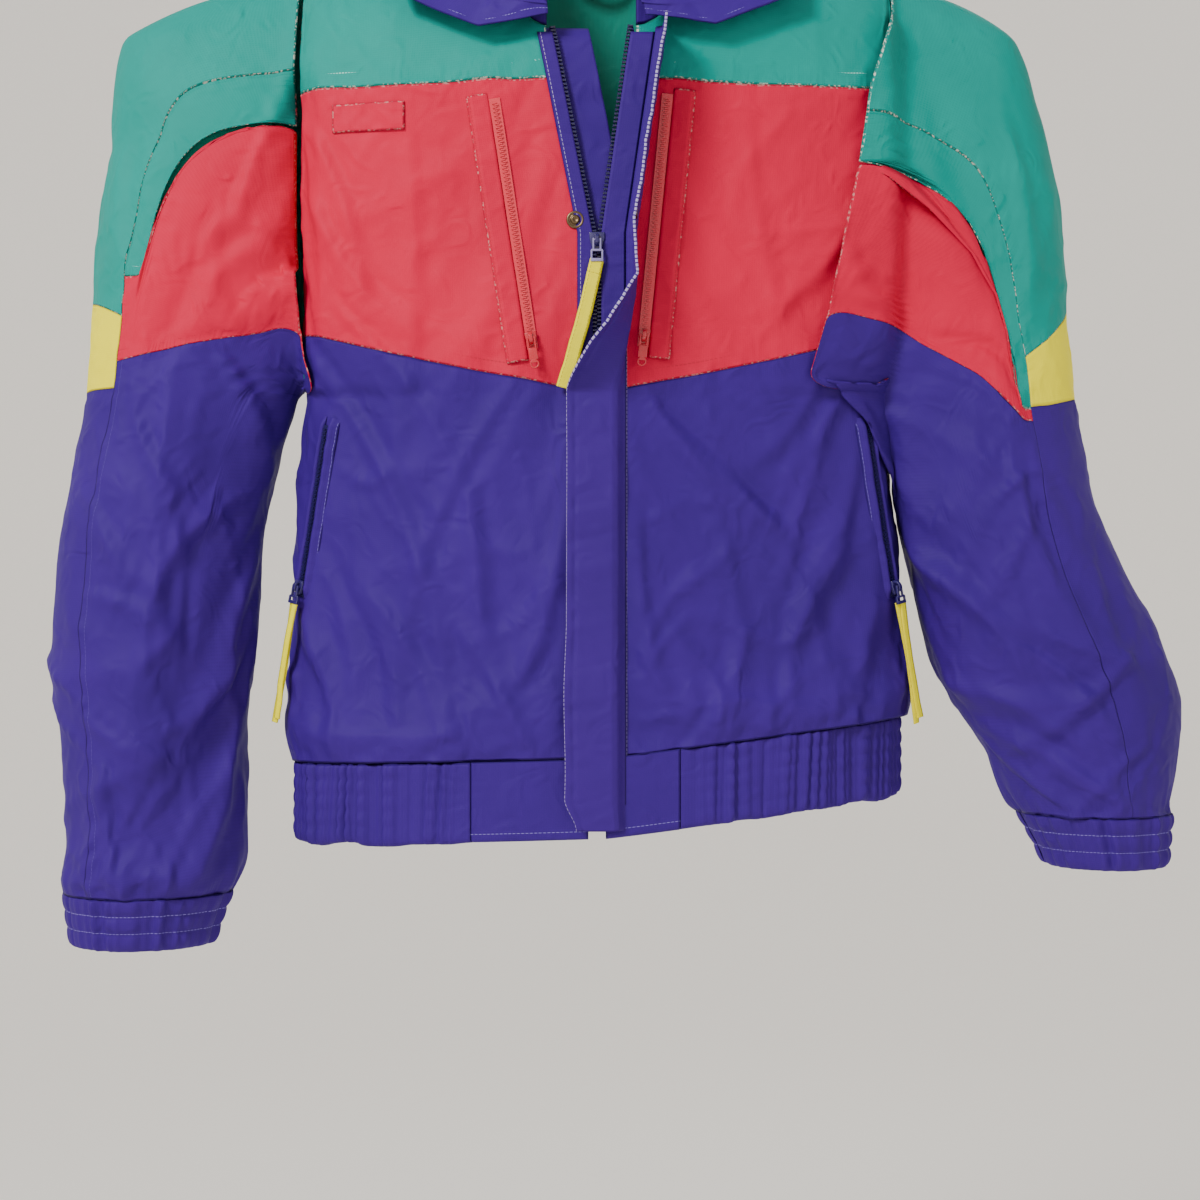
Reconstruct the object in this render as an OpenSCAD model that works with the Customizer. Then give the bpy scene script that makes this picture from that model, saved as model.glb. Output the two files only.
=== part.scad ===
// Padded blouson ski jacket on a hanger: teal yoke, red chest, purple lower half, elastic hem.
// +Z is up, the front faces -Y, +X is the wearer's left, and the origin is the hanger loop.

/* [Body] */
// Half width of the body at the armholes
chest_half_w = 240; // [190:1:290]
// Half width of the body at its fullest
waist_half_w = 256; // [200:1:310]
// Half width of the body at the hem
hem_half_w = 248; // [190:1:300]
// Depth of the front, from the side seams to the zipper
front_depth = 100; // [75:1:125]
// Depth of the back, from the side seams to its flat
back_depth = 85; // [65:1:110]
// How far the side seams lie in front of the hanger loop
side_seam_set = 50; // [40:1:60]

/* [Levels] */
// Drop from the loop to the yoke seam
yoke_drop = 119; // [105:1:143]
// Drop from the loop to the point of the chest chevron
chevron_drop = 364; // [320:1:437]
// Rise of the chevron from its point to the armholes
chevron_rise = 52; // [30:1:64]
// Drop from the loop to the underarms
underarm_drop = 360; // [330:1:400]
// Drop from the loop to the fullest level
fullest_drop = 600; // [500:1:620]
// Drop from the loop to the hem seam at the zipper
hem_drop = 650; // [600:1:780]
// Height of the elastic hem
hem_h = 62; // [50:1:75]
// How much the hem hangs lower at the wearer's right side
hem_sag = 8; // [0:1:10]
// How much the hem is hitched up at the wearer's left side
hem_hitch = 30; // [0:1:36]

/* [Neck and shoulders] */
// Half width of the neck
neck_half_w = 75; // [62:1:90]
// Depth of the front neckline from the side seam plane
neck_front = 88; // [74:1:96]
// Depth of the back neckline from the side seam plane
neck_back = 66; // [58:1:72]
// Drop of the front neckline at the zipper
neck_front_drop = 75; // [62:1:90]
// Height of the shoulder seam at the neck
neck_side_z = 25; // [21:1:30]
// Height of the back neck seam
neck_back_z = 12; // [10:1:15]
// Drop of the shoulder tip below the loop
shoulder_tip_drop = 14; // [10:1:20]
// Half depth of the armhole
armhole_half_d = 65; // [54:1:78]
// Height of the collar stand
collar_h = 38; // [30:1:46]

/* [Sleeves] */
// Length of the wearer's right sleeve from the underarm to its cuff
right_sleeve_drop = 405; // [337:1:486]
// Length of the wearer's left sleeve from the underarm to its cuff
left_sleeve_drop = 340; // [283:1:408]
// Height of a cuff
cuff_h = 42; // [34:1:51]
// Gap between the armhole edge and the sleeve
armhole_gap = 3.5; // [3:0.5:6]
// How far the cuffs hang in front of the armholes
sleeve_forward = 14; // [0:1:20]

/* [Layers] */
// Thickness of the outer fabric with its facing
shell_t = 2; // [1.5:0.1:2.5]
// Thickness of the body padding
padding_t = 4; // [3:0.5:5]
// Thickness of the lining
lining_t = 1; // [0.8:0.1:1.2]
// Clearance between two layers
layer_gap = 0.6; // [0.5:0.1:0.8]
// Room between the body shell and its padding for the pocket bags
bag_room = 4; // [3.5:0.1:5]
// Gap at a sewn seam, on each side
seam_gap = 0.2; // [0.15:0.05:0.3]

/* [Main zipper] */
// Drop from the loop to the zipper slider
slider_drop = 240; // [220:1:288]
// How far the V leans out on the wearer's right at the neckline
open_right = 33; // [20:1:38]
// How far the V leans out on the wearer's left at the neckline
open_left = 24; // [15:1:38]
// Width of one zipper tape
tape_w = 14; // [12:1:17]
// Half width of the closed teeth
teeth_half_w = 3.1; // [2.6:0.1:3.7]
// Thickness of the teeth
teeth_t = 2.4; // [2:0.1:2.9]
// Width of the slider
slider_w = 12; // [10:0.5:14]
// Length of the yellow webbing pull
webbing_len = 104; // [87:1:112]
// Width of the yellow webbing
webbing_w = 13; // [10:0.5:14]

/* [Storm flap] */
// Width of the flap from its seam to its free edge
flap_w = 46; // [40:1:50]
// How far the flap's seam lies from the zipper
flap_seam_x = 21; // [19:1:25]
// How far the flap stands off the front
flap_stand = 11; // [10:0.5:13]
// Angle of the flap where it is turned back
flap_turn = 90; // [75:1:95]
// Diameter of a snap
snap_d = 14; // [11:0.5:15]

/* [Pockets] */
// Width of a chest pocket welt
welt_w = 17; // [14:1:20]
// Length of a chest pocket zipper
chest_zip_len = 184; // [160:1:188]
// Length of a side pocket zipper
side_zip_len = 126; // [105:1:132]
// Width of a pocket zipper's teeth
pocket_teeth_w = 5; // [4:0.5:6]
// Width of a pocket slider
pocket_slider_w = 9; // [7.5:0.5:11]
// Length of a side pocket's webbing pull
side_pull_len = 100; // [83:1:108]
// Diameter of a puller's pin
pin_d = 1.8; // [1.5:0.1:2.2]
// Radial clearance of a puller's pin
pin_gap = 0.3; // [0.2:0.05:0.4]

/* [Hidden] */
$fn = 32;
R = -1; // wearer's right
L = 1; // wearer's left
TEAL = "#00A592";
RED = "#E63C50";
PURPLE = "#4A3A9A";
YELLOW = "#E2DC30";
METAL = "#4A4640";
side_y = -side_seam_set;
front_y = side_y - front_depth;
arm_mid_z = -(shoulder_tip_drop + underarm_drop) / 2;
arm_half_h = (underarm_drop - shoulder_tip_drop) / 2;
front_edge = teeth_half_w + 3.9; // from the zipper to a front panel's edge
front_cols = 11;
neck_cols = 3;
neck_q = 0.06;
neck_facing = 3; // how far the inner layers stop short of the top edges
boxy = 0.35; // exponent that squares the body's oval
padding_d = shell_t + bag_room;
lining_d = padding_d + padding_t + layer_gap;
tape_d = shell_t + 0.3;
tape_t = 0.8;
guard_d = tape_d + tape_t + 0.5;

function mix(a, b, f) = a + (b - a) * f;
function unit(v) = v / norm(v);

// ---- Body surface ------------------------------------------------------------------------
// Every point on the body is given by a column i from the front or back middle to the side,
// a zone from 0 at the hem to 2 at the yoke, a share f of the zone, and a depth d into the layers.

function half_w(z) = lookup(z, [[-hem_drop - hem_h, hem_half_w], [-hem_drop, hem_half_w + 4],
    [-fullest_drop, waist_half_w], [-underarm_drop, chest_half_w]]);

// Half depth of the armhole oval at height z
function armhole(z, d) = let(k = (z - arm_mid_z) / (arm_half_h - d))
    abs(k) >= 1 ? 0 : (armhole_half_d - d) * sqrt(1 - k * k);

// How far the front edge on side s is pushed out by the open zipper at height z
function lean(s, z) = let(k = (z + slider_drop) / (slider_drop - neck_front_drop))
    max(0, k) * (s == R ? open_right : open_left);

function edge_x(s, z) = front_edge + lean(s, z);

// Height of the hem seam at x
function hem_z(x) = -hem_drop
    + (x < 0 ? hem_sag * x / hem_half_w : hem_hitch * x / hem_half_w);

function chevron_z(q) = -chevron_drop + chevron_rise * q;

// Share of the half width at column i
function col_q(i) = i <= neck_cols ? neck_q * i
    : mix(neck_q * neck_cols, 1, sin(90 * (i - neck_cols) / (front_cols - neck_cols)));

function shoulder_z(x) = mix(neck_side_z, -shoulder_tip_drop,
    (x - neck_half_w) / (chest_half_w - neck_half_w));

function inner_drop(d) = d > shell_t ? neck_facing : 0;

// Top edge at column i: x, z and depth from the side seam plane, on the front
function front_top(s, i, d) = let(a = 90 * i / neck_cols, e = edge_x(s, -neck_front_drop),
    x = mix(neck_half_w, chest_half_w - d, (col_q(i) - col_q(neck_cols)) / (1 - col_q(neck_cols))))
    i <= neck_cols
    ? [mix(e, neck_half_w, sin(a)),
       mix(-neck_front_drop, neck_side_z, 1 - cos(a)) - d * sin(a) - inner_drop(d),
       max(seam_gap, (neck_front - d) * cos(a))]
    : [x, shoulder_z(x) - d - inner_drop(d), seam_gap];

function back_top(i, d) = let(a = 90 * i / neck_cols,
    x = mix(neck_half_w, chest_half_w - d, (col_q(i) - col_q(neck_cols)) / (1 - col_q(neck_cols))))
    i <= neck_cols
    ? [neck_half_w * sin(a), mix(neck_back_z, neck_side_z, sin(a) * sin(a)) - d * sin(a)
           - inner_drop(d), max(seam_gap, (neck_back - d) * cos(a))]
    : [x, shoulder_z(x) - d - inner_drop(d), seam_gap];

// Depth of the plain body oval at share q of the half width
function oval(q, z, deep, d) = let(a = armhole(z, d))
    a + (deep - d - a) * pow(max(0, 1 - q * q), boxy);

// Height in a zone, kept a gap g away from its two seams
function zone_z(lo, hi, f, g) = mix(lo + g, hi - g, f);

function zone_low(s, q, zone) = zone == 0 ? hem_z(s * q * hem_half_w)
    : zone == 1 ? chevron_z(q) : -yoke_drop;

function body_pt(s, i, zone, f, d, g, is_front) = let(
    q = col_q(i),
    top = is_front ? front_top(s, i, d) : back_top(i, d),
    hi = zone == 2 ? top[1] : zone_low(s, q, zone + 1),
    z = zone_z(zone_low(s, q, zone), hi, f, g),
    e = is_front ? edge_x(s, z) : 0,
    low_x = mix(e, half_w(z) - d, q),
    k = zone == 2 ? f : 0,
    x = mix(low_x, top[0], k),
    cap = sqrt(1 - k * k),
    qx = min(1, (x - e) / (half_w(z) - d - e)),
    side = pow(max(0, q - neck_q * neck_cols) / (1 - neck_q * neck_cols), 2),
    deep = is_front ? front_depth : back_depth,
    y = mix(top[2] + armhole(z, d) * side, oval(qx, z, deep, d), cap))
    [s * x, side_y + (is_front ? -1 : 1) * max(seam_gap, y), z];

// A point on the front below the yoke at distance x from the middle on side s
function skin_pt(s, x, z, d) = let(e = edge_x(s, z), q = (x - e) / (half_w(z) - d - e))
    [s * x, side_y - oval(min(1, max(0, q)), z, front_depth, d), z];

// A point on the hem at angle a round the body, 0 at the front middle and 90 on the left side
function hem_pt(a, z, d) = [(hem_half_w - d) * sin(a),
    side_y - sign(cos(a)) * ((cos(a) > 0 ? front_depth : back_depth) - d)
        * pow(abs(cos(a)), 2 * boxy), z];

// ---- Sleeve surface ----------------------------------------------------------------------
// v runs from 0 at the armhole to 1 at the underarm level and to 2 at the cuff seam;
// th runs round the sleeve: 0 outside, 90 in front, 180 inside.

pivot_x = chest_half_w + armhole_gap;
inner_start = 0.5;
inner_end = 14;

// Share of the sleeve below the underarm, offset of its middle, half width and half depth
right_arm = [[0, 86, 72, 76], [0.27, 102, 76, 76], [0.49, 106, 78, 74], [0.69, 106, 70, 72],
    [0.91, 102, 68, 66], [1, 106, 64, 60], [1.11, 109, 54, 46]];
left_arm = [[0, 80, 66, 78], [0.26, 84, 68, 76], [0.48, 97, 77, 76], [0.7, 121, 79, 72],
    [0.83, 141, 64, 68], [1, 151, 48, 62], [1.13, 167, 38, 50]];

function arm(s) = s == R ? right_arm : left_arm;
function arm_value(s, f, k) = lookup(f, [for (row = arm(s)) [row[0], row[k]]]);
function sleeve_drop(s) = s == R ? right_sleeve_drop : left_sleeve_drop;
function squareness(s) = s == R ? 3 : 2.3;

// Distance from the underarm to the outside of the sleeve head at angle phi above level
function head_reach(s, phi) = let(n = squareness(s), wide = inner_end + 2 * arm(s)[0][2],
    high = underarm_drop - shoulder_tip_drop)
    pow(pow(cos(phi) / wide, n) + pow(sin(phi) / high, n), -1 / n);

function sleeve_pt(s, th, v, d) = let(
    phi = 90 * (1 - min(v, 1)),
    f = max(0, v - 1),
    near = mix(inner_start, inner_end, min(v, 1)),
    far = head_reach(s, phi),
    hw = v < 1 ? (far - near) / 2 : arm_value(s, f, 2),
    hd = v < 1 ? mix(armhole_half_d, arm(s)[0][3], v) : arm_value(s, f, 3),
    r = v < 1 ? (near + far) / 2 + (hw - d) * cos(th) : (hw - d) * cos(th),
    x = v < 1 ? pivot_x + r * cos(phi) : pivot_x + arm_value(s, f, 1) + r,
    z = v < 1 ? -underarm_drop + r * sin(phi) : -underarm_drop - f * sleeve_drop(s))
    [s * x, side_y - sleeve_forward * min(1, f) - (hd - d) * sin(th), z];

// Seams of the sleeve, as v at angle th
seam_v = 0.003;
band_top_v = 0.744;
band_low_v = 1.0;
function outer_seam_th(s) = s == R ? 60 : 75; // the lengthwise seam
function teal_end_th(s) = s == R ? 76 : 100; // where the teal ends at the armhole
function teal_low_v(s) = s == R ? 0.54 : 0.8;
function teal_front_v(s, th) = max(0.012, teal_low_v(s) * (teal_end_th(s) - th)
    / (teal_end_th(s) - outer_seam_th(s)));
function red_low_v(s, th) = mix(s == R ? 0.84 : 1.02, 0.8,
    (th - outer_seam_th(s)) / (180 - outer_seam_th(s)));

// ---- Solids from grids -------------------------------------------------------------------
// P is the outer grid of points in rows, Q the inner one. With wrap the columns close a ring.
module layer(P, Q, wrap = false) {
    rows = len(P);
    cols = len(P[0]);
    last = wrap ? cols - 1 : cols - 2;
    m = floor(cols / 3);
    n = floor((rows - 1) / 2);
    across = P[n][m + 1] - P[n][m];
    along = P[n + 1][m] - P[n][m];
    flip = cross(across, along) * (P[n][m] - Q[n][m]) < 0;
    base = rows * cols;
    function at(r, c) = r * cols + c % cols;
    function quad(a, b, c, d) = flip ? [[a, c, b], [a, d, c]] : [[a, b, c], [a, c, d]];
    skin = [for (r = [0:rows - 2], c = [0:last])
        each quad(at(r, c), at(r + 1, c), at(r + 1, c + 1), at(r, c + 1))];
    back = [for (r = [0:rows - 2], c = [0:last])
        each quad(base + at(r, c), base + at(r, c + 1), base + at(r + 1, c + 1),
            base + at(r + 1, c))];
    low = [for (c = [0:last])
        each quad(at(0, c), at(0, c + 1), base + at(0, c + 1), base + at(0, c))];
    top_r = rows - 1;
    high = [for (c = [0:last])
        each quad(at(top_r, c + 1), at(top_r, c), base + at(top_r, c),
            base + at(top_r, c + 1))];
    end_c = cols - 1;
    near = wrap ? [] : [for (r = [0:rows - 2])
        each quad(at(r + 1, 0), at(r, 0), base + at(r, 0), base + at(r + 1, 0))];
    far = wrap ? [] : [for (r = [0:rows - 2])
        each quad(at(r, end_c), at(r + 1, end_c), base + at(r + 1, end_c),
            base + at(r, end_c))];
    polyhedron(concat([for (row = P) each row], [for (row = Q) each row]),
        concat(skin, back, low, high, near, far));
}

// ---- Body --------------------------------------------------------------------------------
// A front panel on side s over the rows [zone, share], between depths d0 and d1
module front_panel(s, rows, d0, d1, g) {
    function grid(d) = [for (r = rows)
        [for (i = [0:front_cols]) body_pt(s, i, r[0], r[1], d, g, true)]];
    layer(grid(d0), grid(d1));
}

module back_panel(rows, d0, d1, g) {
    function grid(d) = [for (r = rows) [for (j = [-front_cols:front_cols])
        body_pt(j < 0 ? R : L, abs(j), r[0], r[1], d, g, false)]];
    layer(grid(d0), grid(d1));
}

function zone_rows(zone, n) = [for (k = [0:n]) [zone, zone == 2 ? sin(90 * k / n) : k / n]];
lower_rows = 6;
chest_rows = 4;
yoke_rows = 5;
all_rows = concat([for (k = [0:lower_rows - 1]) [0, k / lower_rows]],
    [for (k = [0:chest_rows - 1]) [1, k / chest_rows]], zone_rows(2, yoke_rows));

module right_front_yoke() color(TEAL) front_panel(R, zone_rows(2, yoke_rows), 0, shell_t, seam_gap);
module left_front_yoke() color(TEAL) front_panel(L, zone_rows(2, yoke_rows), 0, shell_t, seam_gap);
module right_chest_panel() color(RED) front_panel(R, zone_rows(1, chest_rows), 0, shell_t, seam_gap);
module left_chest_panel() color(RED) front_panel(L, zone_rows(1, chest_rows), 0, shell_t, seam_gap);
module right_lower_front() color(PURPLE) front_panel(R, zone_rows(0, lower_rows), 0, shell_t, seam_gap);
module left_lower_front() color(PURPLE) front_panel(L, zone_rows(0, lower_rows), 0, shell_t, seam_gap);
module back_yoke() color(TEAL) back_panel(zone_rows(2, yoke_rows), 0, shell_t, seam_gap);
module back_mid_panel() color(RED) back_panel(zone_rows(1, chest_rows), 0, shell_t, seam_gap);
module back_lower_panel() color(PURPLE) back_panel(zone_rows(0, lower_rows), 0, shell_t, seam_gap);

module body_lay(d0, d1) {
    front_panel(R, all_rows, d0, d1, 0);
    front_panel(L, all_rows, d0, d1, 0);
    back_panel(all_rows, d0, d1, 0);
}

module torso_insulation() color("white") body_lay(padding_d, padding_d + padding_t);
module torso_lining() color(TEAL) body_lay(lining_d, lining_d + lining_t);

// ---- Hem ---------------------------------------------------------------------------------
right_tab_x = 99;
left_tab_x = 65;
hem_case_t = 1.2;
hem_fold_d = 9;
hem_seam_gap = 1.4;
function hem_angle(x) = asin(x / hem_half_w);
function hem_row(angles, d, up) = [for (a = angles)
    let(x = hem_half_w * sin(a)) hem_pt(a, hem_z(x) - hem_seam_gap - hem_h * (1 - up), d)];

// A folded casing round the hem over a list of angles
module hem_case(angles) {
    thin = hem_case_t / hem_h;
    layer([hem_row(angles, 0, 1), hem_row(angles, 0, 0), hem_row(angles, hem_fold_d, 0),
           hem_row(angles, hem_fold_d, 1)],
          [hem_row(angles, hem_case_t, 1), hem_row(angles, hem_case_t, thin),
           hem_row(angles, hem_fold_d - hem_case_t, thin),
           hem_row(angles, hem_fold_d - hem_case_t, 1)]);
}

function span(a, b, n) = [for (k = [0:n]) mix(a, b, k / n)];
tab_gap_a = 0.1;
band_angles = span(hem_angle(left_tab_x) + tab_gap_a, 360 - hem_angle(right_tab_x) - tab_gap_a, 36);
elastic_angles = span(hem_angle(left_tab_x) + 1, 359 - hem_angle(right_tab_x), 24);
module right_hem_tab() color(PURPLE)
    hem_case(span(-hem_angle(right_tab_x), -hem_angle(front_edge), 4));
module left_hem_tab() color(PURPLE)
    hem_case(span(hem_angle(front_edge), hem_angle(left_tab_x), 3));
module hem_band() color(PURPLE) hem_case(band_angles);
elastic_t = 1.6;
elastic_edge = 0.08; // share of the casing's height left free above and below the elastic
module hem_elastic() color("white") {
    near_d = (hem_fold_d - elastic_t) / 2;
    layer([for (up = [elastic_edge, 1 - elastic_edge]) hem_row(elastic_angles, near_d, up)],
          [for (up = [elastic_edge, 1 - elastic_edge])
              hem_row(elastic_angles, near_d + elastic_t, up)]);
}

// ---- Sleeves -----------------------------------------------------------------------------
th_step = 15;
seam_th = 0.4;
function cap_front_th(s) = span(outer_seam_th(s) + seam_th, teal_end_th(s) - seam_th, s == R ? 1 : 2);
function front_th(s) = concat(cap_front_th(s), span(teal_end_th(s) + th_step, 180 - seam_th, 5));
function back_th(s) = concat([seam_th - 180], [for (t = [th_step - 180:th_step:outer_seam_th(s) - 1]) t],
    [outer_seam_th(s) - seam_th]);

// A sleeve piece on side s over angles ths, between the seams low(th) and high(th)
module sleeve_piece(s, ths, from, to, n) {
    function grid(d) = [for (k = [0:n]) [for (t = ths)
        sleeve_pt(s, t, mix(from(t), to(t), k / n), d)]];
    layer(grid(0), grid(shell_t));
}

module sleeve_cap(s) color(TEAL) {
    sleeve_piece(s, cap_front_th(s), function(t) 0, function(t) teal_front_v(s, t) - seam_v, 4);
    sleeve_piece(s, back_th(s), function(t) 0, function(t) band_top_v - seam_v, 6);
}

module sleeve_front_panel(s) color(RED)
    sleeve_piece(s, front_th(s), function(t) t < teal_end_th(s) ? teal_front_v(s, t) + seam_v : 0,
        function(t) red_low_v(s, t) - seam_v, 6);

module sleeve_band(s) color(YELLOW)
    sleeve_piece(s, back_th(s), function(t) band_top_v + seam_v, function(t) band_low_v - seam_v, 3);

module lower_sleeve(s) color(PURPLE) {
    sleeve_piece(s, front_th(s), function(t) red_low_v(s, t) + seam_v, function(t) 2 - seam_v, 7);
    sleeve_piece(s, back_th(s), function(t) band_low_v + seam_v, function(t) 2 - seam_v, 6);
}

sleeve_room = 2.2; // extra room between the sleeve shell and its padding

// A closed inner layer of the sleeve
module sleeve_lay(s, d0, d1) {
    vs = [for (k = [0:12]) k / 6];
    function grid(d) = [for (v = vs) [for (k = [0:15]) sleeve_pt(s, 22.5 * k, v, d)]];
    layer(grid(d0 + sleeve_room), grid(d1 + sleeve_room), true);
}

cuff_case_t = 1.2;
cuff_fold_d = 7;
function cuff_v(s, up) = 2 + (1 - up) * cuff_h / sleeve_drop(s);
function cuff_row(s, d, up) = [for (k = [0:23]) sleeve_pt(s, 15 * k, cuff_v(s, up), d)];

module cuff(s) color(PURPLE) {
    thin = cuff_case_t / cuff_h;
    layer([cuff_row(s, 0, 1), cuff_row(s, 0, 0), cuff_row(s, cuff_fold_d, 0),
           cuff_row(s, cuff_fold_d, 1)],
          [cuff_row(s, cuff_case_t, 1), cuff_row(s, cuff_case_t, thin),
           cuff_row(s, cuff_fold_d - cuff_case_t, thin),
           cuff_row(s, cuff_fold_d - cuff_case_t, 1)], true);
}

module cuff_elastic(s) color("white") {
    near_d = (cuff_fold_d - elastic_t) / 2;
    layer([for (up = [elastic_edge, 1 - elastic_edge]) cuff_row(s, near_d, up)],
          [for (up = [elastic_edge, 1 - elastic_edge]) cuff_row(s, near_d + elastic_t, up)], true);
}

module right_sleeve_cap() sleeve_cap(R);
module left_sleeve_cap() sleeve_cap(L);
module right_sleeve_front_panel() sleeve_front_panel(R);
module left_sleeve_front_panel() sleeve_front_panel(L);
module right_sleeve_band() sleeve_band(R);
module left_sleeve_band() sleeve_band(L);
module right_lower_sleeve() lower_sleeve(R);
module left_lower_sleeve() lower_sleeve(L);
module right_sleeve_insulation() color("white")
    sleeve_lay(R, padding_d, padding_d + padding_t);
module left_sleeve_insulation() color("white")
    sleeve_lay(L, padding_d, padding_d + padding_t);
module right_sleeve_lining() color(TEAL)
    sleeve_lay(R, lining_d, lining_d + lining_t);
module left_sleeve_lining() color(TEAL)
    sleeve_lay(L, lining_d, lining_d + lining_t);
module right_cuff() cuff(R);
module left_cuff() cuff(L);
module right_cuff_elastic() cuff_elastic(R);
module left_cuff_elastic() cuff_elastic(L);

// ---- Collar ------------------------------------------------------------------------------
stand_t = 4;
collar_gap = 3.2;

// A point over the neck seam at angle u, 0 at the back and 180 at the front, out and up from it
function neck_pt(u, out, up) = let(s = u < 0 ? R : L, a = abs(u),
    e = edge_x(s, -neck_front_drop), b = 180 - a)
    a <= 90
    ? [s * (neck_half_w + out) * sin(a), side_y + (neck_back + out) * cos(a),
       mix(neck_back_z, neck_side_z, sin(a) * sin(a)) + up]
    : [s * (mix(e, neck_half_w, sin(b)) + out * sin(b)), side_y - (neck_front + out) * cos(b),
       mix(-neck_front_drop, neck_side_z, 1 - cos(b)) + up];

// Fallen edge of the collar at angle u from the back: x, y and z
fall_edge = [[0, 0, 36, -28], [45, 68, 24, -10], [90, 150, -50, 18], [105, 166, -104, -4],
    [120, 156, -146, -54], [150, 92, -154, -82], [180, 38, -154, -76]];
function fall_pt(u, lift) = let(a = abs(u), s = u < 0 ? R : L)
    [s * lookup(a, [for (p = fall_edge) [p[0], p[1]]]),
     lookup(a, [for (p = fall_edge) [p[0], p[2]]]) - lift * sign(a - 90) * abs(cos(a)),
     lookup(a, [for (p = fall_edge) [p[0], p[3]]]) + lift * sin(a)];

neck_us = [for (u = [-180:90 / neck_cols:180]) u];
fall_us = [for (u = [-180:15:180]) u];
neck_lift = 1.6;

module collar_stand() color(PURPLE) layer(
    [for (up = [neck_lift, collar_h / 2, collar_h]) [for (u = neck_us) neck_pt(u, 0, up)]],
    [for (up = [neck_lift, collar_h / 2, collar_h]) [for (u = neck_us) neck_pt(u, -stand_t, up)]]);

fall_t = 3;
module collar_fall() {
    roll = [[-stand_t, collar_gap], [2, 3], [9, -4]];
    function inner(u) = concat([for (p = roll) neck_pt(u, p[0], collar_h + p[1])],
        [mix(neck_pt(u, 14, collar_h - 12), fall_pt(u, 8), 0.5), fall_pt(u, 0)]);
    function outer(u) = concat([neck_pt(u, -stand_t, collar_h + collar_gap + fall_t),
        neck_pt(u, 4, collar_h + 3 + fall_t), neck_pt(u, 9 + fall_t, collar_h - 3)],
        [mix(neck_pt(u, 14 + fall_t, collar_h - 12), fall_pt(u, 8 + fall_t), 0.5)
            + [0, 0, 1], fall_pt(u, fall_t)]);
    color(PURPLE)
        layer([for (k = [0:4]) [for (u = fall_us) outer(u)[k]]],
              [for (k = [0:4]) [for (u = fall_us) inner(u)[k]]]);
}

// ---- Main zipper -------------------------------------------------------------------------
zip_bottom = -hem_drop - hem_h + 12;
box_h = 14;
zip_zs = [zip_bottom + box_h, -slider_drop, mix(-slider_drop, -neck_front_drop, 0.35), -yoke_drop,
    mix(-yoke_drop, -neck_front_drop, 0.55), mix(-yoke_drop, -neck_front_drop, 0.85),
    -neck_front_drop - 1];

// Height share of z in the yoke at the front edge, and the front's y there at depth d
function edge_y(z, d) = let(k = min(1, max(0, (z + yoke_drop) / (yoke_drop - neck_front_drop))),
    cap = sqrt(1 - k * k))
    side_y - mix(neck_front - d, front_depth - d, cap);

// A strip along one side of the zipper between x0 and x1 from the middle, and depths d0 and d1,
// whose outer edge tapers in towards the neck by the share taper
module zip_strip(s, lean_s, x0, x1, d0, d1, taper = 0) {
    function grid(d) = [for (z = zip_zs)
        let(k = max(0, (z + yoke_drop) / (yoke_drop - neck_front_drop)))
        [for (x = [x0, x1 * (1 - taper * k)])
            [s * x + lean_s * lean(lean_s, z), edge_y(z, d), z]]];
    layer(grid(d0), grid(d1));
}

module right_zipper_tape() color(PURPLE)
    zip_strip(R, R, teeth_half_w + 0.4, teeth_half_w + 0.4 + tape_w, tape_d, tape_d + tape_t, 0.75);
module left_zipper_tape() color(PURPLE)
    zip_strip(L, L, teeth_half_w + 0.4, teeth_half_w + 0.4 + tape_w, tape_d, tape_d + tape_t, 0.75);
module right_zipper_teeth() color("#2A2050")
    zip_strip(R, R, 0.15, teeth_half_w, -0.4, teeth_t - 0.4);
module left_zipper_teeth() color("#2A2050")
    zip_strip(L, L, 0.15, teeth_half_w, -0.4, teeth_t - 0.4);
guard_w = 25; // past the zipper on the wearer's left
guard_t = 1.2;
module wind_guard() color(PURPLE)
    zip_strip(L, R, -tape_w, guard_w, guard_d, guard_d + guard_t);
module zipper_bottom_box() color(METAL)
    translate([-teeth_half_w - 0.6, front_y - 1, zip_bottom])
        cube([2 * teeth_half_w + 1.2, 3.2, box_h - 0.6]);

// ---- Sliders and pullers -----------------------------------------------------------------
// Drawn about the point of a zipper where the slider rests, with +Z up the zipper and -Y outward.
plate_t = 1.8;
bail_w = 3;
bail_h = 4.6;
arm_w = 1.5;
grip_t = 1.8;
function pin_y(lift) = -(lift + plate_t + bail_h - 1.9);
function pin_z(long) = -long * 0.45;

module slider(w, long, lift) {
    translate([-w / 2, -lift - plate_t, -long])
        cube([w, plate_t, long + 1]);
    difference() {
        translate([-bail_w / 2, -lift - plate_t - bail_h, pin_z(long) - 4])
            cube([bail_w, bail_h + 0.2, 8]);
        translate([-bail_w, pin_y(lift), pin_z(long)])
            rotate([0, 90, 0])
                cylinder(d = pin_d + 2 * pin_gap, h = 2 * bail_w);
    }
}

// The pin, the two arms and the grip of a puller that hangs from its slider
module puller(long, lift, grip_w, grip_len) {
    half = bail_w / 2 + 0.5 + arm_w;
    translate([0, pin_y(lift), pin_z(long)]) {
        translate([-half, 0, 0])
            rotate([0, 90, 0])
                cylinder(d = pin_d, h = 2 * half);
        for (s = [R, L])
            translate([s * (half - arm_w / 2) - arm_w / 2, -grip_t / 2, -8])
                cube([arm_w, grip_t, 8 + pin_d / 2]);
        translate([-grip_w / 2, -grip_t / 2, -8 - grip_len])
            cube([grip_w, grip_t, grip_len + 0.2]);
    }
}

main_lift = 1;
main_long = 14;
module at_main() translate([0, front_y, -slider_drop]) children();

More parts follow.
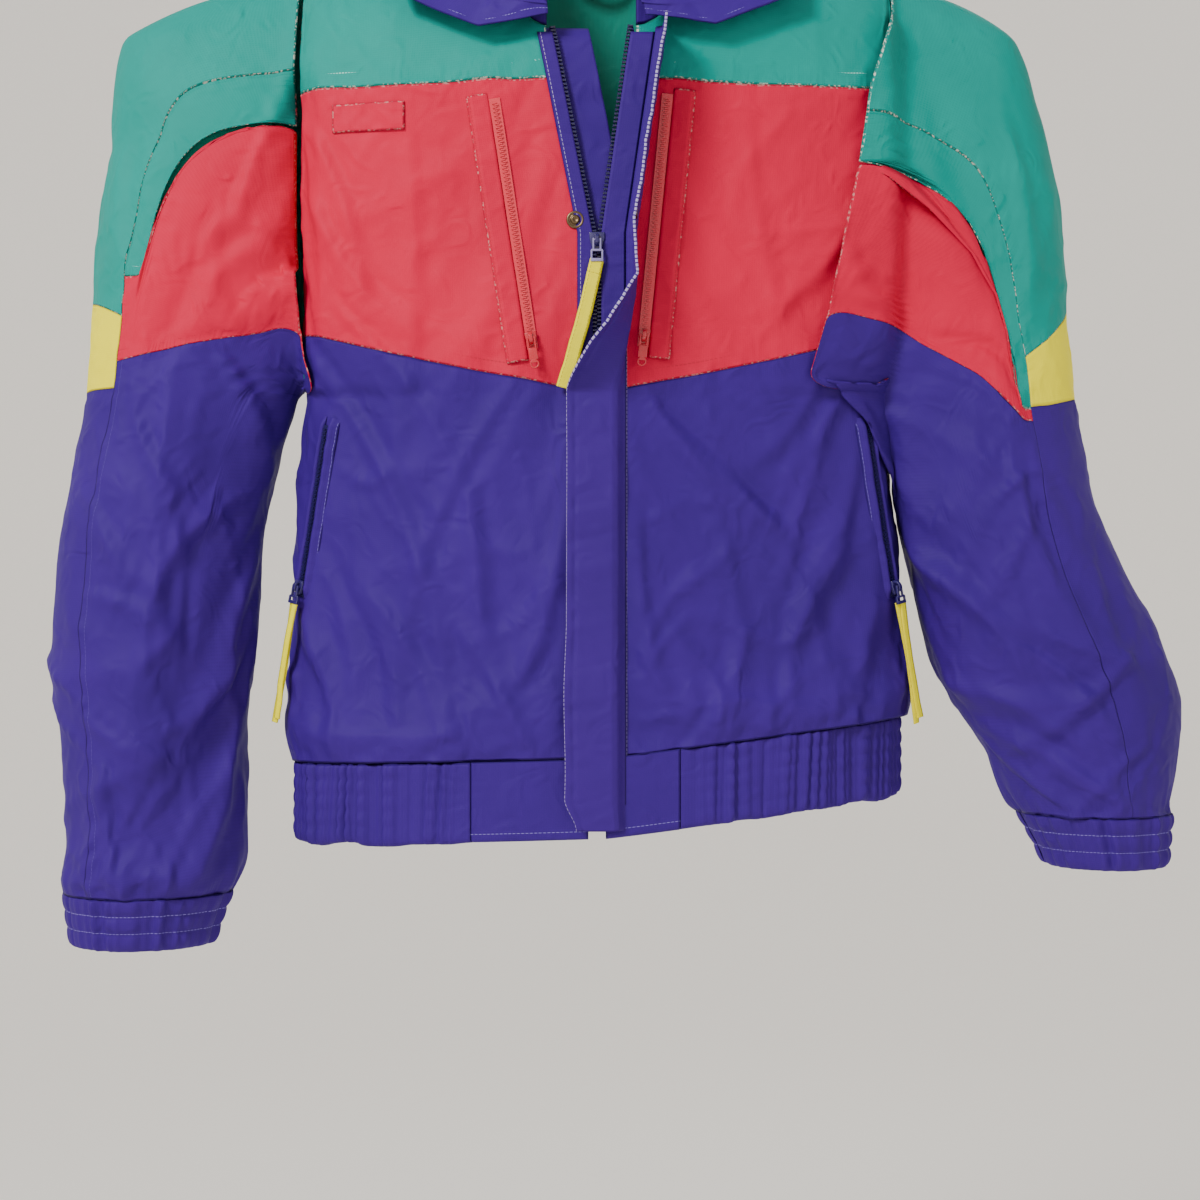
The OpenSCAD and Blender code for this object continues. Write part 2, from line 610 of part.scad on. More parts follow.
module main_slider() color(METAL) at_main() {
    slider(slider_w, main_long, main_lift);
    for (s = [R, L])
        translate([s * (slider_w / 2 - 0.9) - 0.9, -main_lift - 0.2, -main_long])
            cube([1.8, 3, main_long]);
}

main_grip_len = 9;
module main_puller() color(METAL) at_main()
    puller(main_long, main_lift, webbing_w - 3, main_grip_len);

// Webbing strip hung below a puller's grip, leaning by the given angle
webbing_t = 2;
webbing_lean = 15;
module webbing(long, lift, drop, len, lean_a) {
    translate([0, pin_y(lift), pin_z(long) - 8 - drop - 0.3])
        rotate([0, lean_a, 0])
            translate([-webbing_w / 2, -webbing_t / 2, -len])
                linear_extrude(len - webbing_w / 2 * abs(sin(lean_a)))
                    square([webbing_w, webbing_t]);
}

module main_webbing() color(YELLOW) at_main()
    webbing(main_long, main_lift, main_grip_len, webbing_len, webbing_lean);

// ---- Storm flap and snaps ----------------------------------------------------------------
flap_zs = [-hem_drop - hem_h + 6, -hem_drop + 10, -mix(chevron_drop, hem_drop, 0.66),
    -mix(chevron_drop, hem_drop, 0.33), -chevron_drop, -chevron_drop + 16, -chevron_drop + 32,
    -chevron_drop + 48, -chevron_drop + 64, -chevron_drop + 84, -slider_drop,
    mix(-slider_drop, -yoke_drop, 0.5), -yoke_drop, mix(-yoke_drop, -neck_front_drop, 0.5),
    -neck_front_drop - 4];

// Angle at which the flap stands at height z
function flap_angle(z) = lookup(z + chevron_drop,
    [[0, 0], [16, 24 / 90 * flap_turn], [48, 62 / 90 * flap_turn], [84, flap_turn]]);

// A point of the flap, w across from its seam and h out from the front
function flap_pt(z, w, h) = let(a = w <= 0 ? 0 : flap_angle(z))
    [flap_seam_x + lean(L, z) - w * cos(a) + h * sin(a),
     edge_y(z, 0) - 0.5 - w * sin(a) - h * cos(a), z];

flap_t = 2.4;
module storm_flap() color(PURPLE) {
    under = [[0, 0], [4, flap_stand - 4], [8, flap_stand - flap_t], [flap_w / 2, flap_stand - flap_t],
        [flap_w, flap_stand - flap_t]];
    over = [[-2.4, 0], [0.5, flap_stand - 2], [7, flap_stand], [flap_w / 2, flap_stand],
        [flap_w, flap_stand]];
    layer([for (z = flap_zs) [for (p = over) flap_pt(z, p[0], p[1])]],
          [for (z = flap_zs) [for (p = under) flap_pt(z, p[0], p[1])]]);
}

snap_zs = [-slider_drop + 10, -mix(chevron_drop, hem_drop, 0.08), -mix(chevron_drop, hem_drop, 0.56),
    -hem_drop - 16];
snap_x = 17;
stud_h = 2.4;
module snap_studs() color(METAL)
    for (z = snap_zs)
        translate([-snap_x, skin_pt(R, snap_x, z, 0)[1] - 0.4, z])
            rotate([90, 0, 0]) {
                cylinder(d = snap_d, h = 1);
                cylinder(d = snap_d * 0.45, h = stud_h);
            }

module snap_sockets() color(METAL)
    for (z = snap_zs) {
        w = flap_seam_x + snap_x;
        h = flap_stand - flap_t - (z > -slider_drop ? 1.6 : 0.3);
        translate(flap_pt(z, w, h))
            rotate([0, 0, flap_angle(z)])
                rotate([-90, 0, 0])
                    difference() {
                        cylinder(d = snap_d - 1, h = 1.8);
                        translate([0, 0, 0.8])
                            cylinder(d = snap_d * 0.45 + 0.6, h = 1.2);
                    }
    }

// ---- Pockets -----------------------------------------------------------------------------
// A frame on the front skin: from point x0, z0 up to x1, z1 on side s
function zip_axes(s, x0, z0, x1, z1) = let(
    p = skin_pt(s, x0, z0, 0), u = unit(skin_pt(s, x1, z1, 0) - p),
    m = skin_pt(s, (x0 + x1) / 2 + 4, (z0 + z1) / 2, 0)
        - skin_pt(s, (x0 + x1) / 2 - 4, (z0 + z1) / 2, 0),
    across = unit(s * m), inward = unit(cross(u, across)),
    right = cross(inward, u))
    [[right[0], inward[0], u[0], p[0]], [right[1], inward[1], u[1], p[1]],
     [right[2], inward[2], u[2], p[2]], [0, 0, 0, 1]];

right_chest_low = [52, -318];
right_chest_high = [80, -136];
left_chest_low = [37, -316];
left_chest_high = [55, -132];
side_low = [237, -511];
side_high = [216, -387];

module on_zip(s, low, high) multmatrix(zip_axes(s, low[0], low[1], high[0], high[1])) children();
module on_chest(s) on_zip(s, s == R ? right_chest_low : left_chest_low,
    s == R ? right_chest_high : left_chest_high) children();
module on_side(s) on_zip(s, side_low, side_high) children();

zip_stand = 1.2;
zip_t = 1.6;
pocket_lift = zip_stand + zip_t + 0.4;
pocket_long = 11;

module pocket_zip(len) {
    translate([-pocket_teeth_w / 2, -zip_stand - zip_t, -pocket_long - 2])
        cube([pocket_teeth_w, zip_t, len + pocket_long + 2]);
}

module chest_pocket_zips() color(RED)
    for (s = [R, L])
        on_chest(s) pocket_zip(chest_zip_len);
module side_pocket_zips() color("#2A2050")
    for (s = [R, L])
        on_side(s) pocket_zip(side_zip_len);

// The welt stands on the outer side of the chest zipper
module chest_welt(s) color(RED) on_chest(s)
    translate([s == R ? -pocket_slider_w / 2 - 1 - welt_w : pocket_slider_w / 2 + 1,
               -zip_stand - 2.4, -pocket_long - 10])
        cube([welt_w, 2.4, chest_zip_len + pocket_long + 14]);

module chest_slider(s) color(METAL) on_chest(s)
    slider(pocket_slider_w, pocket_long, pocket_lift);
module chest_puller(s) color(RED) on_chest(s) puller(pocket_long, pocket_lift, 7, 15);
module side_slider(s) color(METAL) on_side(s)
    slider(pocket_slider_w, pocket_long, pocket_lift);
module side_pull(s) color(YELLOW) on_side(s) {
    puller(pocket_long, pocket_lift, webbing_w - 2, 6);
    translate([0, 0, 0.4])
        webbing(pocket_long, pocket_lift, 6, side_pull_len, 0);
}

module right_chest_welt() chest_welt(R);
module left_chest_welt() chest_welt(L);
module right_chest_slider() chest_slider(R);
module left_chest_slider() chest_slider(L);
module right_chest_puller() chest_puller(R);
module left_chest_puller() chest_puller(L);
module right_side_slider() side_slider(R);
module left_side_slider() side_slider(L);
module right_side_pull() side_pull(R);
module left_side_pull() side_pull(L);

// A flat piece that follows the front on side s between depths d0 and d1
module skin_patch(s, x0, x1, z0, z1, d0, d1) {
    function grid(d) = [for (z = span(z0, z1, 3)) [for (x = span(x0, x1, 6)) skin_pt(s, x, z, d)]];
    layer(grid(d0), grid(d1));
}

bag_d = shell_t + 0.8;
bag_t = 1.2;
chest_bag = [36, 150, -345, -150]; // x from and to, z from and to
side_bag = [80, 200, -580, -392];
module pocket_bags() color(TEAL)
    for (s = [R, L], b = [chest_bag, side_bag])
        skin_patch(s, b[0], b[1], b[2], b[3], bag_d, bag_d + bag_t);

label = [151, 209, -158, -136]; // x from and to, z from and to
label_stand = 0.8;
label_t = 0.8;
module label_patch() color(RED)
    skin_patch(R, label[0], label[1], label[2], label[3], -label_stand - label_t, -label_stand);

// ---- Hanger loop -------------------------------------------------------------------------
loop_half = 26;
loop_w = 8;
loop_t = 1.2;
loop_y = side_y + (neck_back - stand_t) * cos(20) - 9.5;
// Half of the loop's path, from its sewn end to its middle: share of the half span, y and z
loop_path = [[1, 0, 9], [0.85, -2.5, 6], [0.6, -5, 3], [0.3, -6.6, 1], [0, -7, 0]];
module hanger_loop() color(PURPLE) {
    n = len(loop_path) - 1;
    path = [for (k = [0:2 * n]) let(p = loop_path[n - abs(n - k)])
        [(k < n ? -1 : 1) * loop_half * p[0], loop_y + p[1], p[2]]];
    layer([for (p = path) [p - [0, loop_t / 2, loop_w / 2], p + [0, -loop_t / 2, loop_w / 2]]],
          [for (p = path) [p + [0, loop_t / 2, -loop_w / 2], p + [0, loop_t / 2, loop_w / 2]]]);
}

right_front_yoke();
left_front_yoke();
right_chest_panel();
left_chest_panel();
right_lower_front();
left_lower_front();
back_yoke();
back_mid_panel();
back_lower_panel();
torso_insulation();
torso_lining();
right_sleeve_cap();
left_sleeve_cap();
right_sleeve_front_panel();
left_sleeve_front_panel();
right_sleeve_band();
left_sleeve_band();
right_lower_sleeve();
left_lower_sleeve();
right_sleeve_insulation();
left_sleeve_insulation();
right_sleeve_lining();
left_sleeve_lining();
right_cuff();
left_cuff();
right_cuff_elastic();
left_cuff_elastic();
right_hem_tab();
left_hem_tab();
hem_band();
hem_elastic();
collar_stand();
collar_fall();
storm_flap();
wind_guard();
right_zipper_tape();
left_zipper_tape();
right_zipper_teeth();
left_zipper_teeth();
zipper_bottom_box();
main_slider();
main_puller();
main_webbing();
snap_studs();
snap_sockets();
right_chest_welt();
left_chest_welt();
chest_pocket_zips();
right_chest_slider();
left_chest_slider();
right_chest_puller();
left_chest_puller();
side_pocket_zips();
right_side_slider();
left_side_slider();
right_side_pull();
left_side_pull();
pocket_bags();
hanger_loop();
label_patch();
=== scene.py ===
# %% [markdown]
# # A padded ski jacket
# The jacket is a blouson: a loose shell of crisp nylon that is gathered into an elastic hem and
# cuffs. It hangs, so every panel falls from the shoulders and creases where it is slack. The
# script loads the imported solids, which fix every size, and makes a detailed piece for each.

# %% Load the frame
import math

import bmesh
import bpy
import numpy as np
from mathutils import Matrix, Vector


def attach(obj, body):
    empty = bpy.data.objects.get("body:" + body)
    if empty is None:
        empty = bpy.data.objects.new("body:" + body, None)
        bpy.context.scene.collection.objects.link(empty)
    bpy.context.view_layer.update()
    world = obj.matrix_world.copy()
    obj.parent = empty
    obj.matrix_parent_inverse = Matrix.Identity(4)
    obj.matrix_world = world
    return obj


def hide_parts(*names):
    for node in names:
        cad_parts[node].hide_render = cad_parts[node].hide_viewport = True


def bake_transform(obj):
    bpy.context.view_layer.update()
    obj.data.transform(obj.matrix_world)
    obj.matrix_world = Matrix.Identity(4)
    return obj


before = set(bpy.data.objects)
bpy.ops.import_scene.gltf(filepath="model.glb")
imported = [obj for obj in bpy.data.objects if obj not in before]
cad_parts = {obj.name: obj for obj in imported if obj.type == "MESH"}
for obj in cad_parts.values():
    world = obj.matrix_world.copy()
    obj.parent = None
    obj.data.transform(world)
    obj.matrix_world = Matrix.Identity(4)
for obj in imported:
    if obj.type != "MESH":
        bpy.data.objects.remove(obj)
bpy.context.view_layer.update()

# %% [markdown]
# ## Camera, floor and light
# The jacket is seen square from the front at chest height. A closed pale room of one smooth
# profile stands round it, so that the backdrop is plain from every side, and large soft lamps
# stand in for a window: they show folds by shade and not by glare.

# %% Camera and room
MM = 0.001

camera = bpy.data.objects.new("camera", bpy.data.cameras.new("camera"))
camera.data.lens = 58
camera.data.sensor_width = 36
camera.location = (0.0023, -1.658, -0.5265)
camera.rotation_euler = (math.pi / 2, 0, 0)
bpy.context.collection.objects.link(camera)
bpy.context.scene.camera = camera

ROOM_R = 5.0
FLOOR_Z = -1.7


def object_of(bm, name, shade=True):
    """Turns a bmesh into an object at the origin."""
    mesh = bpy.data.meshes.new(name)
    bm.to_mesh(mesh)
    bm.free()
    made = bpy.data.objects.new(name, mesh)
    bpy.context.collection.objects.link(made)
    if shade:
        mesh.shade_smooth()
    return made


def make_room():
    """Turns a floor, cove and wall profile once round the vertical axis."""
    bm = bmesh.new()
    profile = [(0, 0)] + [(ROOM_R - 1.5 + 1.5 * math.sin(a), 1.5 - 1.5 * math.cos(a))
                          for a in np.linspace(0, math.pi / 2, 9)] + [(ROOM_R, 6)]
    verts = [bm.verts.new((r, 0, FLOOR_Z + z)) for r, z in profile]
    edges = [bm.edges.new(pair) for pair in zip(verts, verts[1:])]
    bmesh.ops.spin(bm, geom=verts + edges, cent=(0, 0, 0), axis=(0, 0, 1), angle=2 * math.pi,
                   steps=64, use_merge=True)
    bmesh.ops.remove_doubles(bm, verts=bm.verts, dist=1e-5)
    return object_of(bm, "room")


room = make_room()


# %% [markdown]
# A window is one small strong lamp from the side, so that creases keep a lit and a dark flank.
# A weaker lamp opens the shadows, and one behind shapes the back. They are not seen themselves.

# %% Lamps
def lamp(name, place, look_at, size, power, tint=(1, 1, 1)):
    """Adds a square soft lamp that faces look_at."""
    data = bpy.data.lights.new(name, "AREA")
    data.size, data.energy, data.color = size, power, tint
    made = bpy.data.objects.new(name, data)
    made.location = place
    made.rotation_euler = (Vector(look_at) - Vector(place)).to_track_quat("-Z", "Y").to_euler()
    made.visible_camera = False
    bpy.context.collection.objects.link(made)
    return made


lamp("window", (-1.7, -2.3, 1.5), (0, 0, -0.45), 0.8, 118, (1.0, 0.985, 0.96))
lamp("fill", (2.6, -2.2, -0.2), (0, 0, -0.45), 2.2, 9, (0.94, 0.97, 1.0))
lamp("back", (0.6, 2.8, 1.4), (0, 0, -0.4), 2.0, 26)
world = bpy.data.worlds.new("sky")
world.use_nodes = True
world.node_tree.nodes["Background"].inputs["Color"].default_value = (0.93, 0.95, 1.0, 1)
world.node_tree.nodes["Background"].inputs["Strength"].default_value = 0.55
bpy.context.scene.world = world

# %% [markdown]
# ## Materials
# The shell is plain-woven nylon with a soft satin face. Woven cloth isn't one flat colour: the
# threads catch light, the dye is a little uneven, and each seam leaves a groove, darkened with
# painted shade, a row of stitches and small puckers. Two numbers on every point drive that: the
# distance to the nearest sewn edge across and along the panel. They are kept as an attribute, and
# the UV map is in metres, so a thread or a stitch has its real size.


# %% Node helper and colours
def linear(code):
    """Turns an sRGB hex colour into linear values."""
    parts = [int(code[i:i + 2], 16) / 255 for i in (1, 3, 5)]
    return [c / 12.92 if c <= 0.04045 else ((c + 0.055) / 1.055) ** 2.4 for c in parts] + [1]


def add(tree, kind, links=None, **settings):
    """Adds a node. links maps an input's name or number to a socket or a value."""
    made = tree.nodes.new(kind)
    for key, value in settings.items():
        setattr(made, key, value)
    for key, value in (links or {}).items():
        if isinstance(value, bpy.types.NodeSocket):
            tree.links.new(value, made.inputs[key])
        else:
            made.inputs[key].default_value = value
    return made


THREAD_MM = 0.9  # real threads are 0.2 mm apart; drawn coarser so that they show
THREAD_SCALE = 0.314 / THREAD_MM * 1000 / 2
STITCH_MM = 3.4  # from one stitch to the next
STITCH_W = 0.75


def nylon(name, cloth, deep, thread, fuzz=0.0, sheen=0.0, rough=0.62, crinkle=1.0):
    """Crisp woven nylon with a satin face: cloth and deep are its light and dark dyes; deep also
    paints shade in the seam grooves.
    """
    made = bpy.data.materials.new(name)
    made.use_nodes = True
    tree = made.node_tree
    tree.nodes.clear()
    uv = add(tree, "ShaderNodeUVMap", uv_map="cloth")
    spot = add(tree, "ShaderNodeTexCoord")
    seam = add(tree, "ShaderNodeAttribute", attribute_name="seam")
    split = add(tree, "ShaderNodeSeparateXYZ", {0: seam.outputs["Vector"]})
    rows = add(tree, "ShaderNodeAttribute", attribute_name="stitch")
    row = add(tree, "ShaderNodeSeparateXYZ", {0: rows.outputs["Vector"]})
    way = add(tree, "ShaderNodeSeparateXYZ", {0: uv.outputs["UV"]})
    # uneven dye
    dye = add(tree, "ShaderNodeTexNoise", {"Vector": spot.outputs["Object"], "Scale": 9.0,
                                           "Detail": 4.0, "Roughness": 0.6})
    share = add(tree, "ShaderNodeMapRange", {"Value": dye.outputs["Fac"], "From Min": 0.35,
                                             "From Max": 0.75, "To Max": 0.3})
    colour = add(tree, "ShaderNodeMix", {"Factor": share.outputs["Result"], "A": linear(cloth),
                                         "B": linear(deep)}, data_type="RGBA")
    # threads both ways
    warp, weft = (add(tree, "ShaderNodeTexWave", {
        "Vector": uv.outputs["UV"], "Scale": THREAD_SCALE, "Distortion": 0.6, "Detail": 1.0},
        bands_direction=way) for way in ("X", "Y"))
    weave = add(tree, "ShaderNodeMath", {0: warp.outputs["Fac"], 1: weft.outputs["Fac"]},
                operation="MULTIPLY")
    faint = add(tree, "ShaderNodeMath", {0: weave.outputs[0], 1: 0.22}, operation="MULTIPLY")
    woven = add(tree, "ShaderNodeMix", {"Factor": faint.outputs[0], "A": colour.outputs["Result"],
                                        "B": linear(deep)}, data_type="RGBA")
    # stitch rows beside the edges across (x) and along (y)
    marks = []
    for across, along in (("X", "X"), ("Y", "Y")):
        off = add(tree, "ShaderNodeMath", {0: row.outputs[across], 1: STITCH_W / 2},
                  operation="LESS_THAN")
        step = add(tree, "ShaderNodeMath", {0: way.outputs[along], 1: 1000 / STITCH_MM},
                   operation="MULTIPLY")
        part = add(tree, "ShaderNodeMath", {0: step.outputs[0]}, operation="FRACT")
        dash = add(tree, "ShaderNodeMath", {0: part.outputs[0], 1: 0.7}, operation="LESS_THAN")
        marks.append(add(tree, "ShaderNodeMath", {0: off.outputs[0], 1: dash.outputs[0]},
                         operation="MULTIPLY"))
    stitch = add(tree, "ShaderNodeMath", {0: marks[0].outputs[0], 1: marks[1].outputs[0]},
                 operation="MAXIMUM")
    # painted shade: within 1.6 mm of a seam the colour is mixed up to 55% towards the deep dye, as
    # shade in the seam's groove; the bump below also sinks that groove
    near = add(tree, "ShaderNodeMath", {0: split.outputs["X"], 1: split.outputs["Y"]},
               operation="MINIMUM")
    groove = add(tree, "ShaderNodeMapRange", {"Value": near.outputs[0], "From Min": 0.0,
                                              "From Max": 1.6, "To Min": 1.0, "To Max": 0.0})
    dark = add(tree, "ShaderNodeMath", {0: groove.outputs["Result"], 1: 0.55},
               operation="MULTIPLY")
    groove_shaded = add(tree, "ShaderNodeMix", {"Factor": dark.outputs[0], "A": woven.outputs["Result"],
                                        "B": linear(deep)}, data_type="RGBA")
    speck = add(tree, "ShaderNodeTexNoise", {"Vector": spot.outputs["Object"], "Scale": 420.0,
                                             "Detail": 2.0})
    worn = add(tree, "ShaderNodeMapRange", {"Value": speck.outputs["Fac"], "From Min": 0.5,
                                            "From Max": 0.62, "To Max": fuzz})
    edge_line = add(tree, "ShaderNodeMath", {0: near.outputs[0], 1: 1.3}, operation="LESS_THAN")
    pale = add(tree, "ShaderNodeMath", {0: worn.outputs["Result"], 1: edge_line.outputs[0]},
               operation="MULTIPLY")
    fuzzed = add(tree, "ShaderNodeMix", {"Factor": pale.outputs[0], "A": groove_shaded.outputs["Result"],
                                         "B": linear("#E8E2D2")}, data_type="RGBA")
    sewn = add(tree, "ShaderNodeMix", {"Factor": stitch.outputs[0], "A": fuzzed.outputs["Result"],
                                       "B": linear(thread)}, data_type="RGBA")
    # relief: threads, fine creases, puckers that fade away from a seam, stitches
    relief = add(tree, "ShaderNodeBump", {"Height": weave.outputs[0], "Strength": 0.35,
                                          "Distance": 0.00012})
    crease = add(tree, "ShaderNodeTexNoise", {"Vector": spot.outputs["Object"], "Scale": 34.0,
                                              "Detail": 5.0, "Roughness": 0.55,
                                              "Distortion": 1.6}, noise_type="RIDGED_MULTIFRACTAL")
    creased = add(tree, "ShaderNodeBump", {"Height": crease.outputs["Fac"],
                                           "Strength": 0.7 * crinkle, "Distance": 0.0022,
                                           "Normal": relief.outputs["Normal"]})
    puckers = []
    for axis, scale in (("X", (150, 22, 1)), ("Y", (22, 150, 1))):
        lie = add(tree, "ShaderNodeMapping", {"Vector": uv.outputs["UV"], "Scale": scale})
        ripple = add(tree, "ShaderNodeTexNoise", {"Vector": lie.outputs["Vector"], "Scale": 1.0,
                                                  "Detail": 1.0})
        fade = add(tree, "ShaderNodeMapRange", {"Value": split.outputs[axis], "From Min": 1.0,
                                                "From Max": 16.0, "To Min": 1.0, "To Max": 0.0})
        puckers.append(add(tree, "ShaderNodeMath", {0: ripple.outputs["Fac"],
                                                    1: fade.outputs["Result"]},
                           operation="MULTIPLY"))
    both = add(tree, "ShaderNodeMath", {0: puckers[0].outputs[0], 1: puckers[1].outputs[0]})
    sunk = add(tree, "ShaderNodeMath", {0: both.outputs[0], 1: groove.outputs["Result"]},
               operation="SUBTRACT")
    raised = add(tree, "ShaderNodeMath", {0: stitch.outputs[0], 1: 0.08, 2: sunk.outputs[0]},
                 operation="MULTIPLY_ADD")
    bump = add(tree, "ShaderNodeBump", {"Height": raised.outputs[0], "Strength": 0.7,
                                        "Distance": 0.0014, "Normal": creased.outputs["Normal"]})
    shader = add(tree, "ShaderNodeBsdfPrincipled", {
        "Base Color": sewn.outputs["Result"], "Roughness": rough, "IOR": 1.5,
        "Specular IOR Level": 0.14,
        "Sheen Weight": sheen, "Sheen Roughness": 0.4, "Normal": bump.outputs["Normal"]})
    add(tree, "ShaderNodeOutputMaterial", {"Surface": shader.outputs["BSDF"]})
    return made


def hard(name, colour, metallic=0.0, rough=0.3, coat=0.0, glow=0.0):
    """Painted zinc, brass or moulded plastic: smooth with a faint unevenness and worn specks."""
    made = bpy.data.materials.new(name)
    made.use_nodes = True
    tree = made.node_tree
    tree.nodes.clear()
    spot = add(tree, "ShaderNodeTexCoord")
    grain = add(tree, "ShaderNodeTexNoise", {"Vector": spot.outputs["Object"], "Scale": 900.0,
                                             "Detail": 3.0})
    shade = add(tree, "ShaderNodeMapRange", {"Value": grain.outputs["Fac"], "From Min": 0.3,
                                             "From Max": 0.7, "To Min": 0.0, "To Max": 0.35})
    dim = [c * 0.5 for c in linear(colour)[:3]] + [1]
    paint = add(tree, "ShaderNodeMix", {"Factor": shade.outputs["Result"], "A": linear(colour),
                                        "B": dim}, data_type="RGBA")
    gloss = add(tree, "ShaderNodeMapRange", {"Value": grain.outputs["Fac"],
                                             "To Min": rough * 0.7, "To Max": rough * 1.3})
    bump = add(tree, "ShaderNodeBump", {"Height": grain.outputs["Fac"], "Strength": 0.15,
                                        "Distance": 0.0002})
    shader = add(tree, "ShaderNodeBsdfPrincipled", {
        "Base Color": paint.outputs["Result"], "Roughness": gloss.outputs["Result"],
        "Metallic": metallic, "Coat Weight": coat, "Normal": bump.outputs["Normal"]})
    shader.inputs["Emission Color"].default_value = linear(colour)
    shader.inputs["Emission Strength"].default_value = glow
    add(tree, "ShaderNodeOutputMaterial", {"Surface": shader.outputs["BSDF"]})
    return made


# %% [markdown]
# Each finish is one call with its real colours. Taffeta is dull with a faint gloss, acetal teeth
# are smooth plastic, the sliders are painted zinc and the snaps are brass that has darkened.

# %% The jacket's finishes
teal_nylon = nylon("teal_nylon_taffeta", "#008C82", "#00655F", "#8FD6C8", fuzz=0.7)
flap_nylon = nylon("purple_nylon_flap", "#39187A", "#1C0A50", "#A79CCB", crinkle=0.8)
red_nylon = nylon("red_nylon_taffeta", "#CB0C3C", "#9C0A2C", "#A81F33", fuzz=0.25)
purple_nylon = nylon("purple_nylon_taffeta", "#37167A", "#1B0950", "#7A70BC")
yellow_nylon = nylon("yellow_nylon_taffeta", "#EFE40C", "#D6C608", "#C9BC34")
teal_lining = nylon("teal_polyester_lining", "#038673", "#04675B", "#04675B", crinkle=0.6,
                    rough=0.4)
yellow_webbing = nylon("yellow_polyester_webbing", "#F2E80C", "#DCCB0A", "#B8A915", rough=0.65,
                       crinkle=0.2)
lilac_zinc = hard("lilac_painted_zinc", "#8D86B8", 0.0, 0.35, 0.4)
purple_zinc = hard("purple_painted_zinc", "#2A2060", 0.0, 0.3, 0.5)
red_zinc = hard("red_painted_zinc", "#C4162C", 0.0, 0.25, 0.6)
navy_acetal = hard("navy_moulded_acetal", "#1E1A4A", 0.0, 0.22, 0.3)
red_acetal = hard("red_moulded_acetal", "#D82A40", 0.0, 0.3, 0.3)
old_brass = hard("antique_brass", "#6E5C45", 1.0, 0.38)
plaster = hard("lit_white_calico", "#DAD6D0", 0.0, 0.9, glow=0.5)
room.data.materials.append(plaster)

# %% [markdown]
# ## The shape of the cloth
# Each panel follows a smooth surface given by a formula in millimetres, the same one as the
# solids have: an oval body that rounds over into the shoulders, and tubes for the sleeves. u runs
# across a surface and v along it. A grid laid on the surface is then pushed into folds.

# %% Body measures, in millimetres
SIDE_Y, FRONT_DEEP, BACK_DEEP = -50.0, 100.0, 85.0
YOKE_Z, CHEVRON_Z, CHEVRON_RISE, UNDERARM_Z = -119.0, -364.0, 52.0, -360.0
HEM_Z, HEM_H, FULL_Z = -650.0, 62.0, -600.0
HEM_HALF, WAIST_HALF, CHEST_HALF = 248.0, 256.0, 240.0
HEM_SAG, HEM_HITCH = 8.0, 30.0
NECK_HALF, NECK_FRONT, NECK_BACK = 75.0, 88.0, 66.0
NECK_FRONT_Z, NECK_SIDE_Z, NECK_BACK_Z, TIP_Z = -75.0, 25.0, 12.0, -14.0
ARM_HALF_D, NECK_Q, BOXY, ZIP_EDGE = 62.0, 0.18, 0.35, 7.0
SLIDER_Z, OPEN = -240.0, {-1: 33.0, 1: 24.0}
RIGHT, LEFT = -1, 1
FRONT_Y = SIDE_Y - FRONT_DEEP


def mix(a, b, f):
    return a + (b - a) * f


def smooth(f):
    f = np.clip(f, 0, 1)
    return f * f * (3 - 2 * f)


def half_width(z):
    return np.interp(z, [HEM_Z - HEM_H, HEM_Z, FULL_Z, UNDERARM_Z],
                     [HEM_HALF, HEM_HALF + 4, WAIST_HALF, CHEST_HALF])


def armhole(z, d):
    middle, half = (TIP_Z + UNDERARM_Z) / 2, (TIP_Z - UNDERARM_Z) / 2
    return (ARM_HALF_D - d) * np.sqrt(np.clip(1 - ((z - middle) / (half - d)) ** 2, 0, 1))


def lean(side, z):
    """How far the open zipper pushes the front edge out at height z."""
    return np.clip((z - SLIDER_Z) / (NECK_FRONT_Z - SLIDER_Z), 0, None) * OPEN[side]


def hem_line(x):
    return HEM_Z + np.where(x < 0, HEM_SAG, HEM_HITCH) * x / HEM_HALF


def valley(side, x, z):
    """The front sinks in beside the sleeve between the yoke and the underarm."""
    inner = smooth((x - 222) / 19) * np.exp(-np.clip(x - 241, 0, None) / 13)
    return (25 if side == RIGHT else 12) * inner * smooth((z + 348) / 50) * smooth((-92 - z) / 40)


def oval(q, z, deep, d):
    a = armhole(z, d)
    return a + (deep - d - a) * np.clip(1 - q * q, 0, 1) ** BOXY


